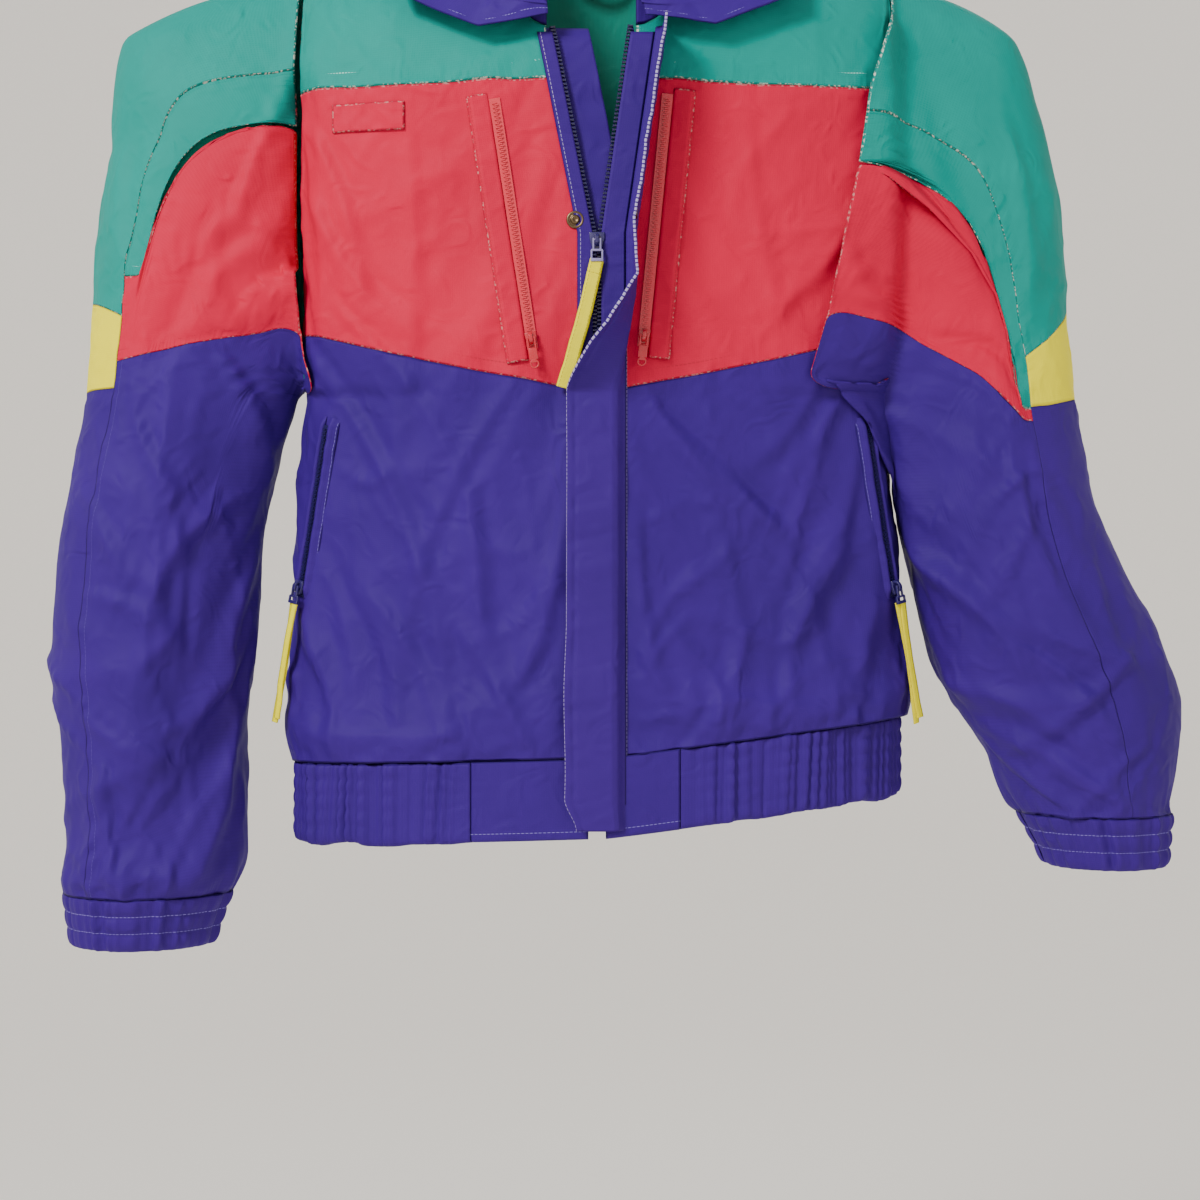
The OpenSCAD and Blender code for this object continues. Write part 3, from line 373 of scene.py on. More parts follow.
def body_point(side, q, t, d=0.0, front=True):
    """A point at share q of the half width. t is 0 to 1 below the chest, to 2 on it, to 3 above."""
    q, t = np.broadcast_arrays(np.asarray(q, float), np.asarray(t, float))
    edge = ZIP_EDGE if front else 0.0
    a = np.pi / 2 * np.clip(q / NECK_Q, 0, 1)
    out = (q - NECK_Q) / (1 - NECK_Q)
    past = q > NECK_Q
    top_x = np.where(past, mix(NECK_HALF, CHEST_HALF - d, out),
                     mix(edge + (OPEN[side] if front else 0), NECK_HALF, np.sin(a)))
    neck_z = mix(NECK_FRONT_Z, NECK_SIDE_Z, 1 - np.cos(a)) if front else \
        mix(NECK_BACK_Z, NECK_SIDE_Z, np.sin(a) ** 2)
    top_z = np.where(past, mix(NECK_SIDE_Z, TIP_Z, out), neck_z) - d * np.sin(a)
    top_y = np.where(past, 0.2, ((NECK_FRONT if front else NECK_BACK) - d) * np.cos(a))
    low_z = hem_line(side * q * HEM_HALF)
    mid_z = CHEVRON_Z + CHEVRON_RISE * q
    k = np.sin(np.pi / 2 * np.clip(t - 2, 0, 1))
    z = np.where(t < 1, mix(low_z, mid_z, t), mix(mid_z, YOKE_Z, np.clip(t - 1, 0, 1)))
    z = np.where(t > 2, mix(YOKE_Z, top_z, k), z)
    e = edge + (lean(side, z) if front else 0)
    width = half_width(z) - d
    x = mix(mix(e, width, q), top_x, k)
    qx = np.clip((x - e) / (width - e), 0, 1)
    rim = (np.clip(q - NECK_Q, 0, 1) / (1 - NECK_Q)) ** 2
    deep = FRONT_DEEP if front else BACK_DEEP
    y = mix(top_y + armhole(z, d) * rim, oval(qx, z, deep, d), np.sqrt(1 - k * k))
    y = y - (valley(side, x, z) if front else 0)
    return np.stack([side * x, SIDE_Y + (-1 if front else 1) * np.maximum(0.2, y), z], -1)


def even_steps(curve, count=400):
    """Positions at which equal shares of a curve's length fall."""
    f = np.linspace(0, 1, count)
    length = np.r_[0, np.cumsum(np.linalg.norm(np.diff(curve(f), axis=0), axis=1))]
    return f, length / length[-1]


q_of, share_of = even_steps(lambda q: body_point(RIGHT, q, np.full_like(q, 1.2)))


def across(u):
    """Share of the half width at share u of the way round."""
    return np.interp(u, share_of, q_of)


def front_right(u, v, d=0.0):
    return body_point(RIGHT, across(u), v, d)


def front_left(u, v, d=0.0):
    return body_point(LEFT, across(u), v, d)


def back(u, v, d=0.0):
    """u runs from -1 at the wearer's right to 1 at the left."""
    q = across(np.abs(u))
    point = body_point(LEFT, q, v, d, front=False)
    low = body_point(RIGHT, q, v, d, front=False)
    return np.where((np.asarray(u) < 0)[..., None], low, point)


# %% [markdown]
# A sleeve leaves the armhole, bends down and tapers to the cuff. Its section is an oval that is
# placed by a short table of offsets, so one function gives any point of either sleeve. The left
# one has slid over the front, and both stand out where the cloth is full.

# %% Sleeve measures
ARMHOLE_GAP, SLEEVE_FORWARD, INNER_END = 3.5, 14.0, 14.0
CUFF_H = 42.0
SLEEVE_DROP = {RIGHT: 405.0, LEFT: 340.0}
ARMS = {  # share below the underarm, offset of the middle, half width, half depth
    RIGHT: np.array([(0, 86, 72, 76), (0.27, 102, 76, 76), (0.49, 106, 78, 74),
                     (0.69, 106, 70, 72), (0.91, 102, 68, 66), (1, 106, 64, 60),
                     (1.11, 109, 54, 46)], float),
    LEFT: np.array([(0, 80, 66, 78), (0.26, 84, 68, 76), (0.48, 97, 77, 76),
                    (0.7, 121, 79, 72), (0.83, 141, 64, 68), (1, 151, 48, 62),
                    (1.13, 167, 38, 50)], float)}
SQUARE = {RIGHT: 3.0, LEFT: 2.3}
OUTER_TH = {RIGHT: 60.0, LEFT: 75.0}
# how far the left sleeve has slid over the body at each height, and the right one
TUCK = {RIGHT: ([-470, -400, -359, -320, -240], [0, 6, 16, 4, 0]),
        LEFT: ([-560, -495, -420, -382, -363, -300, -183, -119, -50],
               [0, 4, 30, 56, 80, 62, 38, 28, 4])}


def soft_lookup(f, xs, ys):
    """Interpolates a short list with rounded corners."""
    w = 0.06
    return sum(np.interp(f + k * w, xs, ys) for k in (-1, -0.5, 0, 0.5, 1)) / 5


def sleeve_point(side, th, v, d=0.0):
    """th is 0 outside, 90 in front, 180 inside; v is 1 at the underarm and 2 at the cuff."""
    th, v = np.broadcast_arrays(np.asarray(th, float), np.asarray(v, float))
    th = np.radians(th)
    arm = ARMS[side]
    phi = np.pi / 2 * (1 - np.minimum(v, 1))
    f = np.maximum(0, v - 1)
    near = mix(0.5, INNER_END, np.minimum(v, 1))
    wide, high = INNER_END + 2 * arm[0, 2], TIP_Z - UNDERARM_Z
    n = SQUARE[side]
    far = ((np.cos(phi) / wide) ** n + (np.sin(phi) / high) ** n) ** (-1 / n)
    head = v < 1
    hw = np.where(head, (far - near) / 2, soft_lookup(f, arm[:, 0], arm[:, 2]))
    hd = np.where(head, mix(ARM_HALF_D, arm[0, 3], v), soft_lookup(f, arm[:, 0], arm[:, 3]))
    r = np.where(head, (near + far) / 2, 0) + (hw - d) * np.cos(th)
    pivot = CHEST_HALF + ARMHOLE_GAP
    x = np.where(head, pivot + r * np.cos(phi),
                 pivot + soft_lookup(f, arm[:, 0], arm[:, 1]) + r)
    z = np.where(head, UNDERARM_Z + r * np.sin(phi), UNDERARM_Z - f * SLEEVE_DROP[side])
    y = SIDE_Y - SLEEVE_FORWARD * np.minimum(1, f) - (hd - d) * np.sin(th)
    # slack cloth slides over the body's front and lies on it; the armhole itself sinks in
    front = smooth((SIDE_Y + 35 - y) / 60)
    pull = np.interp(z, *TUCK[side]) * smooth((305 - x) / 60) * front
    x = x - pull
    q = np.clip((x - ZIP_EDGE) / (half_width(z) - ZIP_EDGE), 0, 1)
    skin_y = SIDE_Y - oval(q, z, FRONT_DEEP, 0) - 5 + d
    y = y + (np.minimum(y, skin_y) - y) * smooth(pull / 10) * smooth((246 - x) / 6)
    y = y + valley(side, x, z) * (pull < 1) * smooth((SIDE_Y - y) / 40)
    # the sleeve hangs wider than its drawn tube, and the left elbow stands out
    wide = np.interp(-z, *SPREAD[side])
    x = x + wide * smooth((x - 246) / 70) * (1 if side == RIGHT else 0.5 + 0.5 * np.cos(th))
    return np.stack([side * x, y, z], -1)


# Seams across the sleeve, drawn as lines of distance from the middle and height
TEAL_LINE = {RIGHT: ([243, 267, 370], [-136, -160, -265]),
             LEFT: ([205, 214, 283, 318, 340], [-174, -183, -254, -328, -372])}
RED_LINE = {RIGHT: ([241, 260, 380, 400], [-307, -310, -331, -335]),
            LEFT: ([188, 236, 303, 339], [-300, -308, -347, -381])}
SPREAD = {RIGHT: ([20, 58, 110, 150, 300, 363, 542, 721, 830],
                  [8, 44, 28, 18, 22, 26, 30, 26, 24]),
          LEFT: ([20, 58, 110, 300, 445, 526, 604, 643, 700, 745, 830],
                 [6, 24, 14, 6, 20, 34, 44, 38, 26, 18, 10])}


def crossing(side, line):
    """For each angle, the v at which the sleeve passes below the line."""
    angles = np.linspace(OUTER_TH[side], 180, 120)
    v = np.linspace(0, 1.3, 900)
    p = sleeve_point(side, angles[None, :], v[:, None])
    below = p[..., 2] < np.interp(np.abs(p[..., 0]), *line)
    found = np.where(below.any(0), v[np.argmax(below, 0)], v[-1])
    kernel = np.ones(5) / 5
    found = np.convolve(np.pad(found, 2, mode="edge"), kernel, "valid")
    return lambda th: np.interp(th, angles, found)


teal_front = {side: crossing(side, TEAL_LINE[side]) for side in (RIGHT, LEFT)}
red_cross = {side: crossing(side, RED_LINE[side]) for side in (RIGHT, LEFT)}

teal_end = {}
for side in (RIGHT, LEFT):
    angles = np.arange(OUTER_TH[side], 150.0, 0.5)
    teal_end[side] = float(angles[np.argmax(teal_front[side](angles) < 0.02)])


def red_low(side, th):
    return np.maximum(red_cross[side](th), teal_front[side](th) + 0.004)


# %% [markdown]
# ## Folds
# Two kinds of folds give worn nylon its look. The large ones hang from the points that carry the
# cloth: the armholes, the elastic, the half-open zipper. They are drawn as ridges with a sharp
# crest and a soft foot. The small ones come from a cloth simulation: the panel is made a few per
# cent too large for its outline, so that it buckles, as real slack cloth does.


# %% Drawn ridges
def ridges(p, folds):
    """Height of the folds at points p. A fold is x0, z0, x1, z1, width, height, bend."""
    total = np.zeros(p.shape[:-1])
    for x0, z0, x1, z1, width, height, bend in folds:
        line = np.array([x1 - x0, z1 - z0], float)
        length = np.hypot(*line)
        line /= length
        dx, dz = p[..., 0] - x0, p[..., 2] - z0
        s = (dx * line[0] + dz * line[1]) / length
        off = dx * -line[1] + dz * line[0] - bend * 4 * s * (1 - s)
        body = np.clip(s, 0, 1)
        ends = np.clip(np.minimum(s + 0.12, 1.12 - s) / 0.3, 0, 1)
        w = width * (0.55 + 0.75 * body)
        crest = np.exp(-np.abs(off / w) ** 1.35) - 0.45 * np.exp(-((off / w - 1.5) / 0.9) ** 2)
        total += 0.85 * height * crest * ends * ends * (3 - 2 * ends)
    return total


class Drape:
    """A surface with a field of displacements, from drawn folds and from simulation."""
    flip = 1.0

    def __init__(self, name, place, us, vs, wrap=False):
        self.name, self.place, self.us, self.vs, self.wrap = name, place, us, vs, wrap
        self.base = place(us[None, :], vs[:, None])
        self.move = np.zeros_like(self.base)

    def normals(self):
        p = self.base
        if self.wrap:
            du = np.roll(p, -1, 1) - np.roll(p, 1, 1)
            du[:, 0] = p[:, 1] - p[:, -2]
            du[:, -1] = du[:, 0]
        else:
            du = np.gradient(p, axis=1)
        n = np.cross(du, np.gradient(p, axis=0))
        return n / np.maximum(np.linalg.norm(n, axis=-1, keepdims=True), 1e-9) * self.flip

    def push(self, height):
        self.move += self.normals() * height[..., None]

    def offset(self, u, v):
        """The displacement at u, v by smooth (cubic) interpolation."""
        cols, rows = len(self.us), len(self.vs)
        c = np.interp(u, self.us, np.arange(cols))
        r = np.interp(v, self.vs, np.arange(rows))
        c0, r0 = np.floor(c).astype(int), np.floor(r).astype(int)
        fc, fr = c - c0, r - r0

        def weights(f):
            return (-0.5 * f + f * f - 0.5 * f ** 3, 1 - 2.5 * f * f + 1.5 * f ** 3,
                    0.5 * f + 2 * f * f - 1.5 * f ** 3, -0.5 * f * f + 0.5 * f ** 3)

        total = 0
        for i, wr in enumerate(weights(fr)):
            ri = np.clip(r0 + i - 1, 0, rows - 1)
            for j, wc in enumerate(weights(fc)):
                cj = c0 + j - 1
                cj = cj % (cols - 1) if self.wrap else np.clip(cj, 0, cols - 1)
                total = total + self.move[ri, cj] * (wr * wc)[..., None]
        return total

    def at(self, u, v, d=0.0):
        u, v = np.broadcast_arrays(np.asarray(u, float), np.asarray(v, float))
        return self.place(u, v, d) + self.offset(u, v)


# %% [markdown]
# A drape holds a surface and how far each of its points has been moved. Two fronts, one back and
# two sleeves make the jacket, and every panel is later cut from one of them, so neighbours meet.

# %% The five drapes
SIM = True
BODY_VS = np.r_[np.linspace(0, 1, 45)[:-1], np.linspace(1, 2, 36)[:-1], np.linspace(2, 3, 24)]
drapes = {
    "front_right": Drape("front_right", front_right, np.linspace(0, 1, 50), BODY_VS),
    "front_left": Drape("front_left", front_left, np.linspace(0, 1, 50), BODY_VS),
    "back": Drape("back", back, np.linspace(-1, 1, 98), BODY_VS),
}
SLEEVE_VS = np.r_[np.linspace(0.0, 1, 48)[:-1], np.linspace(1, 2, 62)]
for label, side in (("right", RIGHT), ("left", LEFT)):
    drapes[f"sleeve_{label}"] = Drape(
        f"sleeve_{label}", lambda u, v, d=0.0, side=side: sleeve_point(side, u, v, d),
        np.linspace(-180, 180, 76), SLEEVE_VS, wrap=True)
for item in drapes.values():
    # outward is away from the middle line of the tube or body
    n = item.normals()
    middle = item.base.mean(axis=1, keepdims=True)
    item.flip = 1.0 if ((item.base - middle) * n)[10:-10].sum() > 0 else -1.0

RIGHT_FRONT_FOLDS = [
    (-232, -330, -120, -640, 9, 5.0, 30), (-226, -345, -215, -600, 11, 6.0, -22),
    (-200, -300, -95, -560, 8, 3.6, 36), (-235, -190, -140, -318, 8, 3.6, -14),
    (-238, -140, -186, -300, 7, 3.6, 12), (-150, -135, -165, -420, 9, 2.4, 10),
    (-100, -420, -60, -640, 9, 3.0, -14), (-45, -330, -160, -600, 8, 3.4, -26),
    (-180, -520, -120, -650, 8, 4.4, 10), (-238, -470, -190, -640, 9, 4.6, 12),
    (-28, -460, -70, -600, 7, 2.8, 10), (-160, -640, -185, -520, 7, 3.4, -8),
    (-210, -650, -228, -560, 7, 4.0, -6), (-90, -650, -105, -560, 6, 3.0, 6),
]
LEFT_FRONT_FOLDS = [
    (24, -330, 150, -470, 8, 4.2, -16), (40, -375, 190, -640, 9, 4.6, 40),
    (190, -300, 120, -420, 8, 4.0, 14), (205, -330, 150, -560, 9, 5.0, 24),
    (214, -200, 130, -300, 8, 3.6, 12), (120, -130, 160, -330, 9, 2.6, -12),
    (34, -440, 60, -620, 7, 3.4, -10), (80, -420, 110, -630, 9, 3.6, 16),
    (150, -610, 195, -460, 8, 4.4, 10), (60, -655, 120, -540, 8, 4.2, -12),
    (226, -480, 190, -610, 9, 5.0, 12), (35, -575, 85, -500, 6, 3.0, 8),
    (100, -640, 96, -575, 6, 3.2, 4), (200, -630, 214, -560, 7, 3.8, -5),
]
BACK_FOLDS = [
    (-200, -330, -120, -640, 12, 4.6, 26), (200, -320, 110, -640, 12, 4.8, -26),
    (-60, -150, -90, -420, 12, 3.0, 16), (50, -140, 90, -460, 12, 3.2, -18),
    (-215, -170, -120, -330, 10, 4.2, -18), (214, -180, 110, -340, 10, 4.0, 18),
    (-20, -380, 30, -640, 11, 3.8, -16), (-150, -420, -190, -640, 11, 4.4, 14),
    (150, -430, 176, -640, 11, 4.4, -12), (70, -520, 40, -650, 9, 3.8, 10),
    (-80, -540, -60, -650, 9, 3.8, -8),
]
RIGHT_SLEEVE_FOLDS = [
    (-372, -372, -296, -470, 8, 6.5, -14), (-300, -330, -268, -440, 8, 5.5, 10),
    (-282, -440, -360, -540, 9, 7.0, -18), (-410, -520, -330, -570, 9, 6.0, 12),
    (-285, -560, -370, -640, 9, 6.5, 12), (-420, -610, -340, -650, 8, 5.0, -8),
    (-300, -640, -330, -760, 8, 5.0, 10), (-395, -650, -370, -770, 8, 5.0, -10),
    (-270, -170, -330, -250, 9, 4.2, 10), (-300, -200, -290, -320, 8, 3.8, -12),
    (-385, -150, -380, -270, 10, 4.2, -10), (-345, -430, -340, -560, 6, 3.5, 8),
    (-280, -500, -300, -600, 6, 4.0, -6), (-415, -440, -380, -520, 7, 4.5, 6),
]
LEFT_SLEEVE_FOLDS = [
    (205, -370, 330, -430, 8, 6.5, 10), (215, -385, 300, -520, 8, 7.0, -14),
    (330, -400, 400, -560, 9, 6.5, -14), (250, -480, 350, -590, 9, 7.0, 10),
    (270, -580, 400, -600, 8, 6.0, -12), (430, -560, 320, -650, 8, 6.0, 10),
    (300, -620, 420, -690, 8, 5.5, 8), (440, -640, 370, -720, 7, 4.5, -8),
    (230, -200, 300, -290, 9, 4.5, 10), (200, -250, 260, -330, 8, 4.2, -10),
    (330, -130, 350, -290, 10, 4.2, 8), (350, -440, 300, -540, 6, 4.0, 8),
    (400, -480, 430, -590, 7, 4.0, -6), (340, -560, 420, -640, 6, 4.5, 8),
]


def facing(item, toward):
    """How much a drape faces -Y (toward=-1) or +Y, from 0 to 1."""
    return smooth(item.normals()[..., 1] * toward * 1.6)


drapes["front_right"].push(ridges(drapes["front_right"].base, RIGHT_FRONT_FOLDS))
drapes["front_left"].push(ridges(drapes["front_left"].base, LEFT_FRONT_FOLDS))
drapes["back"].push(ridges(drapes["back"].base, BACK_FOLDS))
for label, folds in (("right", RIGHT_SLEEVE_FOLDS), ("left", LEFT_SLEEVE_FOLDS)):
    item = drapes[f"sleeve_{label}"]
    other = [(x0, z0, x1, z1, w * 1.2, h, -b) for x0, z0, x1, z1, w, h, b in folds]
    item.push(ridges(item.base, folds) * facing(item, -1)
              + ridges(item.base + np.array([9.0, 0, 34.0]), other) * facing(item, 1))


# %% [markdown]
# Cloth that is sewn to a shorter elastic swells above it in narrow pleats. Elsewhere taffeta
# crumples: flat facets meet in crisp lines. Both are noise shaped for that, added to the drapes.

# %% Gathers above the elastic
def wander(x, seed, octaves=3):
    """A smooth repeatable noise of one number, about -1 to 1."""
    rng = np.random.default_rng(seed)
    total, scale = 0, 1.0
    for k in range(octaves):
        table = rng.uniform(-1, 1, 512)
        i = np.floor(x * scale).astype(int)
        f = smooth(x * scale - i)
        total = total + mix(table[i % 512], table[(i + 1) % 512], f) / 1.7 ** k
        scale *= 2.1
    return total


def lattice(x, y, seed):
    """A smooth repeatable noise of two numbers, about -1 to 1."""
    table = np.random.default_rng(seed).uniform(-1, 1, (64, 64))
    i, j = np.floor(x).astype(int), np.floor(y).astype(int)
    f, g = smooth(x - i), smooth(y - j)
    return mix(mix(table[i % 64, j % 64], table[(i + 1) % 64, j % 64], f),
               mix(table[i % 64, (j + 1) % 64], table[(i + 1) % 64, (j + 1) % 64], f), g)


def crumple(x, y, seed):
    """Crisp creases: lines where a bent noise crosses zero stand up between flat facets."""
    total = 0.0
    for k, (size, height, angle) in enumerate(((84, 6.4, 0.9), (52, 4.4, -0.7), (31, 2.7, 0.35),
                                               (19, 1.3, -1.2))):
        a = x * math.cos(angle) + y * math.sin(angle)
        b = (y * math.cos(angle) - x * math.sin(angle)) * 0.6
        a, b = a / size, b / size
        bend = 0.7 * lattice(a * 0.8, b * 0.8, seed + 7 * k + 3)
        n = lattice(a + bend, b - bend, seed + 7 * k)
        here = 0.55 + 0.45 * lattice(a * 0.5 + 9, b * 0.5, seed + 7 * k + 5)
        total = total + height * here * (np.exp(-np.abs(n) / 0.16) - 0.3)
    return total


for item, shift in zip(drapes.values(), (0, 40, 80, 120, 160)):
    p = item.base
    run = np.cumsum(np.r_[0, np.linalg.norm(np.diff(p[len(p) // 2], axis=0), axis=1)])[None, :]
    drop = -p[..., 2]
    rough = crumple(run + 0 * drop + 400, drop + 400, 100 + shift)
    if item.wrap:
        ease = smooth((180 - np.abs(item.us)) / 25)[None, :]
        rough = rough * ease * smooth((item.vs - 0.12) / 0.2)[:, None]
    calm = 0.55 if "front" in item.name else 0.6
    rough = rough * np.where(drop < 340, calm, 1.0) * smooth((item.vs[-1] + 0.02 - item.vs)
                                                            / 0.1)[:, None]
    item.push(rough)

for name, amount in (("front_right", 3.4), ("front_left", 3.4), ("back", 4.2)):
    item = drapes[name]
    p = item.base
    above = p[..., 2] - hem_line(p[..., 0])
    run = np.r_[0, np.cumsum(np.linalg.norm(np.diff(p[0], axis=0), axis=1))][None, :]
    drift = run + above * 0.12 * wander(run / 60, 3)
    gather = wander(drift / 11, 11 + len(name), 2) * amount
    free = smooth((np.abs(p[..., 0]) - (60 if name == "front_left" else 95)) / 20) \
        if name != "back" else 1.0
    item.push(gather * np.exp(-above / 34) * smooth(above / 9 + 0.25) * free
              + 5.0 * np.exp(-((above - 26) / 26) ** 2) * free)
for label in ("right", "left"):
    item = drapes[f"sleeve_{label}"]
    side = RIGHT if label == "right" else LEFT
    th, v = np.meshgrid(item.us, item.vs)
    above = (2 - v) * SLEEVE_DROP[side]
    gather = wander((th + 180) / 360 * 40 + above * 0.01, 7 + side, 2)
    gather[:, -1] = gather[:, 0]
    item.push(4.2 * gather * np.exp(-above / 30) * smooth(above / 8 + 0.2)
              + 4.0 * np.exp(-((above - 22) / 20) ** 2))


# %% [markdown]
# ## Letting the cloth buckle
# Every panel of a drape is simulated in one piece, because real folds run on across the seams. The
# seams themselves, which are stiffer and hold the shape, are held, and the rest is tied weakly to
# the drawn shape. A negative shrink makes the cloth larger than its outline.

# %% Cloth simulation
FRAMES = 16


def grid_object(name, cols, rows):
    """A flat grid of create_grid, with the column and row of every vertex."""
    bm = bmesh.new()
    bmesh.ops.create_grid(bm, x_segments=cols - 1, y_segments=rows - 1, size=0.5)
    made = object_of(bm, name, shade=False)
    flat = np.empty(len(made.data.vertices) * 3)
    made.data.vertices.foreach_get("co", flat)
    flat = flat.reshape(-1, 3)
    return made, flat[:, 0] + 0.5, flat[:, 1] + 0.5


def held(item):
    """How firmly each point is held: 1 at the sewn outline, less inside."""
    u, v = np.meshgrid(item.us, item.vs)
    if item.wrap:
        cell = np.linalg.norm(np.gradient(item.base, axis=0), axis=-1)
        firm = np.where(v < 0.02, 1, 0.0) + (v > 1.995) + smooth((3.4 - cell) / 1.6)
        seam = 0.0
    else:
        q = np.abs(u)
        firm = (v < 0.01) + (v > 2.96) + (q > 0.985) * 1.0
        if item.name != "back":
            firm = firm + (q < 0.02)
        seam = 0.25 * (np.abs(v - 1) < 0.012) + 0.3 * (np.abs(v - 2) < 0.012)
    return np.clip(np.maximum(firm, np.maximum(seam, 0.035)), 0, 1)


def simulate(items, frames, swell):
    made = []
    for item in items:
        rows, cols = item.base.shape[:2]
        obj, fu, fv = grid_object("sim_" + item.name, cols, rows)
        c, r = np.rint(fu * (cols - 1)).astype(int), np.rint(fv * (rows - 1)).astype(int)
        start = (item.base + item.move) * MM
        obj.data.vertices.foreach_set("co", start[r, c].ravel())
        group = obj.vertex_groups.new(name="held")
        firm = held(item)
        if item.wrap:
            firm[:, 0] = firm[:, -1] = 1.0
        for index, weight in enumerate(firm[r, c]):
            group.add([index], float(weight), "REPLACE")
        cloth = obj.modifiers.new("Cloth", "CLOTH")
        cloth.settings.quality = 4
        cloth.settings.mass = 0.12
        cloth.settings.tension_stiffness = 12
        cloth.settings.compression_stiffness = 12
        cloth.settings.shear_stiffness = 4
        cloth.settings.bending_stiffness = 0.12
        cloth.settings.vertex_group_mass = "held"
        cloth.settings.pin_stiffness = 0.6
        cloth.settings.shrink_min = -swell
        cloth.collision_settings.use_collision = False
        cloth.point_cache.frame_start, cloth.point_cache.frame_end = 1, frames
        made.append((item, obj, c, r))
    for step in range(1, frames + 1):
        bpy.context.scene.frame_set(step)
    graph = bpy.context.evaluated_depsgraph_get()
    for item, obj, c, r in made:
        result = obj.evaluated_get(graph).to_mesh()
        flat = np.empty(len(result.vertices) * 3)
        result.vertices.foreach_get("co", flat)
        after = np.zeros_like(item.base)
        after[r, c] = flat.reshape(-1, 3) / MM
        drawn = item.base + item.move
        change = after - drawn
        size = np.linalg.norm(change, axis=-1, keepdims=True)
        change *= 6.0 * np.tanh(size / 12.0) / np.maximum(size, 1e-6)
        item.move += change
        print(item.name, "buckled by up to", round(float(size.max()), 1), "mm, mean",
              round(float(size.mean()), 2))
        mesh = obj.data
        bpy.data.objects.remove(obj)
        bpy.data.meshes.remove(mesh)
    bpy.context.scene.frame_set(1)


if SIM:
    simulate(list(drapes.values()), FRAMES, 0.022)

# Zippers and snaps stiffen the cloth round them, so it lies flat there
ZIP_LINES = {RIGHT: ((14, -700, 14, -240, 15), (14, -240, 47, -75, 15), (52, -340, 84, -120, 20),
                     (237, -530, 216, -380, 14), (17, -700, 17, -210, 9)),
             LEFT: ((14, -700, 14, -240, 15), (14, -240, 38, -75, 15), (37, -340, 59, -120, 20),
                    (237, -530, 216, -380, 14))}


def off_line(x, z, line):
    x0, z0, x1, z1 = line[:4]
    f = np.clip(((x - x0) * (x1 - x0) + (z - z0) * (z1 - z0)) / ((x1 - x0) ** 2 + (z1 - z0) ** 2),
                0, 1)
    return np.hypot(x - x0 - f * (x1 - x0), z - z0 - f * (z1 - z0))


skin_points = {}
for name, side in (("front_right", RIGHT), ("front_left", LEFT)):
    item = drapes[name]
    flat = np.ones(item.base.shape[:2])
    for line in ZIP_LINES[side]:
        gap = off_line(np.abs(item.base[..., 0]), item.base[..., 2], line)
        flat *= 1 - 0.93 * np.exp(-(gap / line[4]) ** 2)
    item.move *= flat[..., None]
    u, v = np.meshgrid(np.linspace(item.us[0], item.us[-1], 260), np.linspace(0.02, 2.95, 420))
    skin_points[side] = item.at(u.ravel(), v.ravel())


def body_y(side, x, z):
    """How far forward the finished cloth is at a distance x from the middle and a height."""
    p = skin_points[side]
    gap = (np.abs(p[:, 0]) - x) ** 2 + (p[:, 2] - z) ** 2
    near = np.argsort(gap)[:4]
    weight = 1 / (gap[near] + 0.1)
    return float((p[near, 1] * weight).sum() / weight.sum())


# %% [markdown]
# ## Sewing panels
# A panel is a window on a drape: a grid between four seams, moved onto the surface, given a wall
# with Solidify and smoothed once. It keeps its UV map in metres and its distances to the seams.

# %% [markdown]
# One helper makes any strip or panel: a grid laid where a function says, with its distances to
# seams and stitches worked out from the grid itself, a wall and one level of smoothing.

# %% Panel helper
def finish_piece(obj, body, material, nodes):
    """Gives a piece its finish, attaches it to its body and hides the solids that it stands for;
    given two bodies, it is attached to neither and only has its transform baked.
    """
    obj.data.materials.clear()
    obj.data.materials.append(material)
    if isinstance(body, tuple):
        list(body[:2])
        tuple(body[2])
        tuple(body[3])
        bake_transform(obj)
    else:
        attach(obj, body)
    if nodes:
        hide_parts(*nodes)


def write_seam(mesh, uv, seam, stitch):
    """Stores the UV map in metres and the seam distances, given per vertex."""
    layer = mesh.uv_layers.new(name="cloth")
    corner = np.empty(len(mesh.loops), int)
    mesh.loops.foreach_get("vertex_index", corner)
    layer.data.foreach_set("uv", (uv[corner] * MM).ravel())
    field = mesh.attributes.new("seam", "FLOAT_VECTOR", "POINT")
    field.data.foreach_set("vector", np.ascontiguousarray(seam, float).ravel())
    field = mesh.attributes.new("stitch", "FLOAT_VECTOR", "POINT")
    field.data.foreach_set("vector", np.ascontiguousarray(stitch, float).ravel())


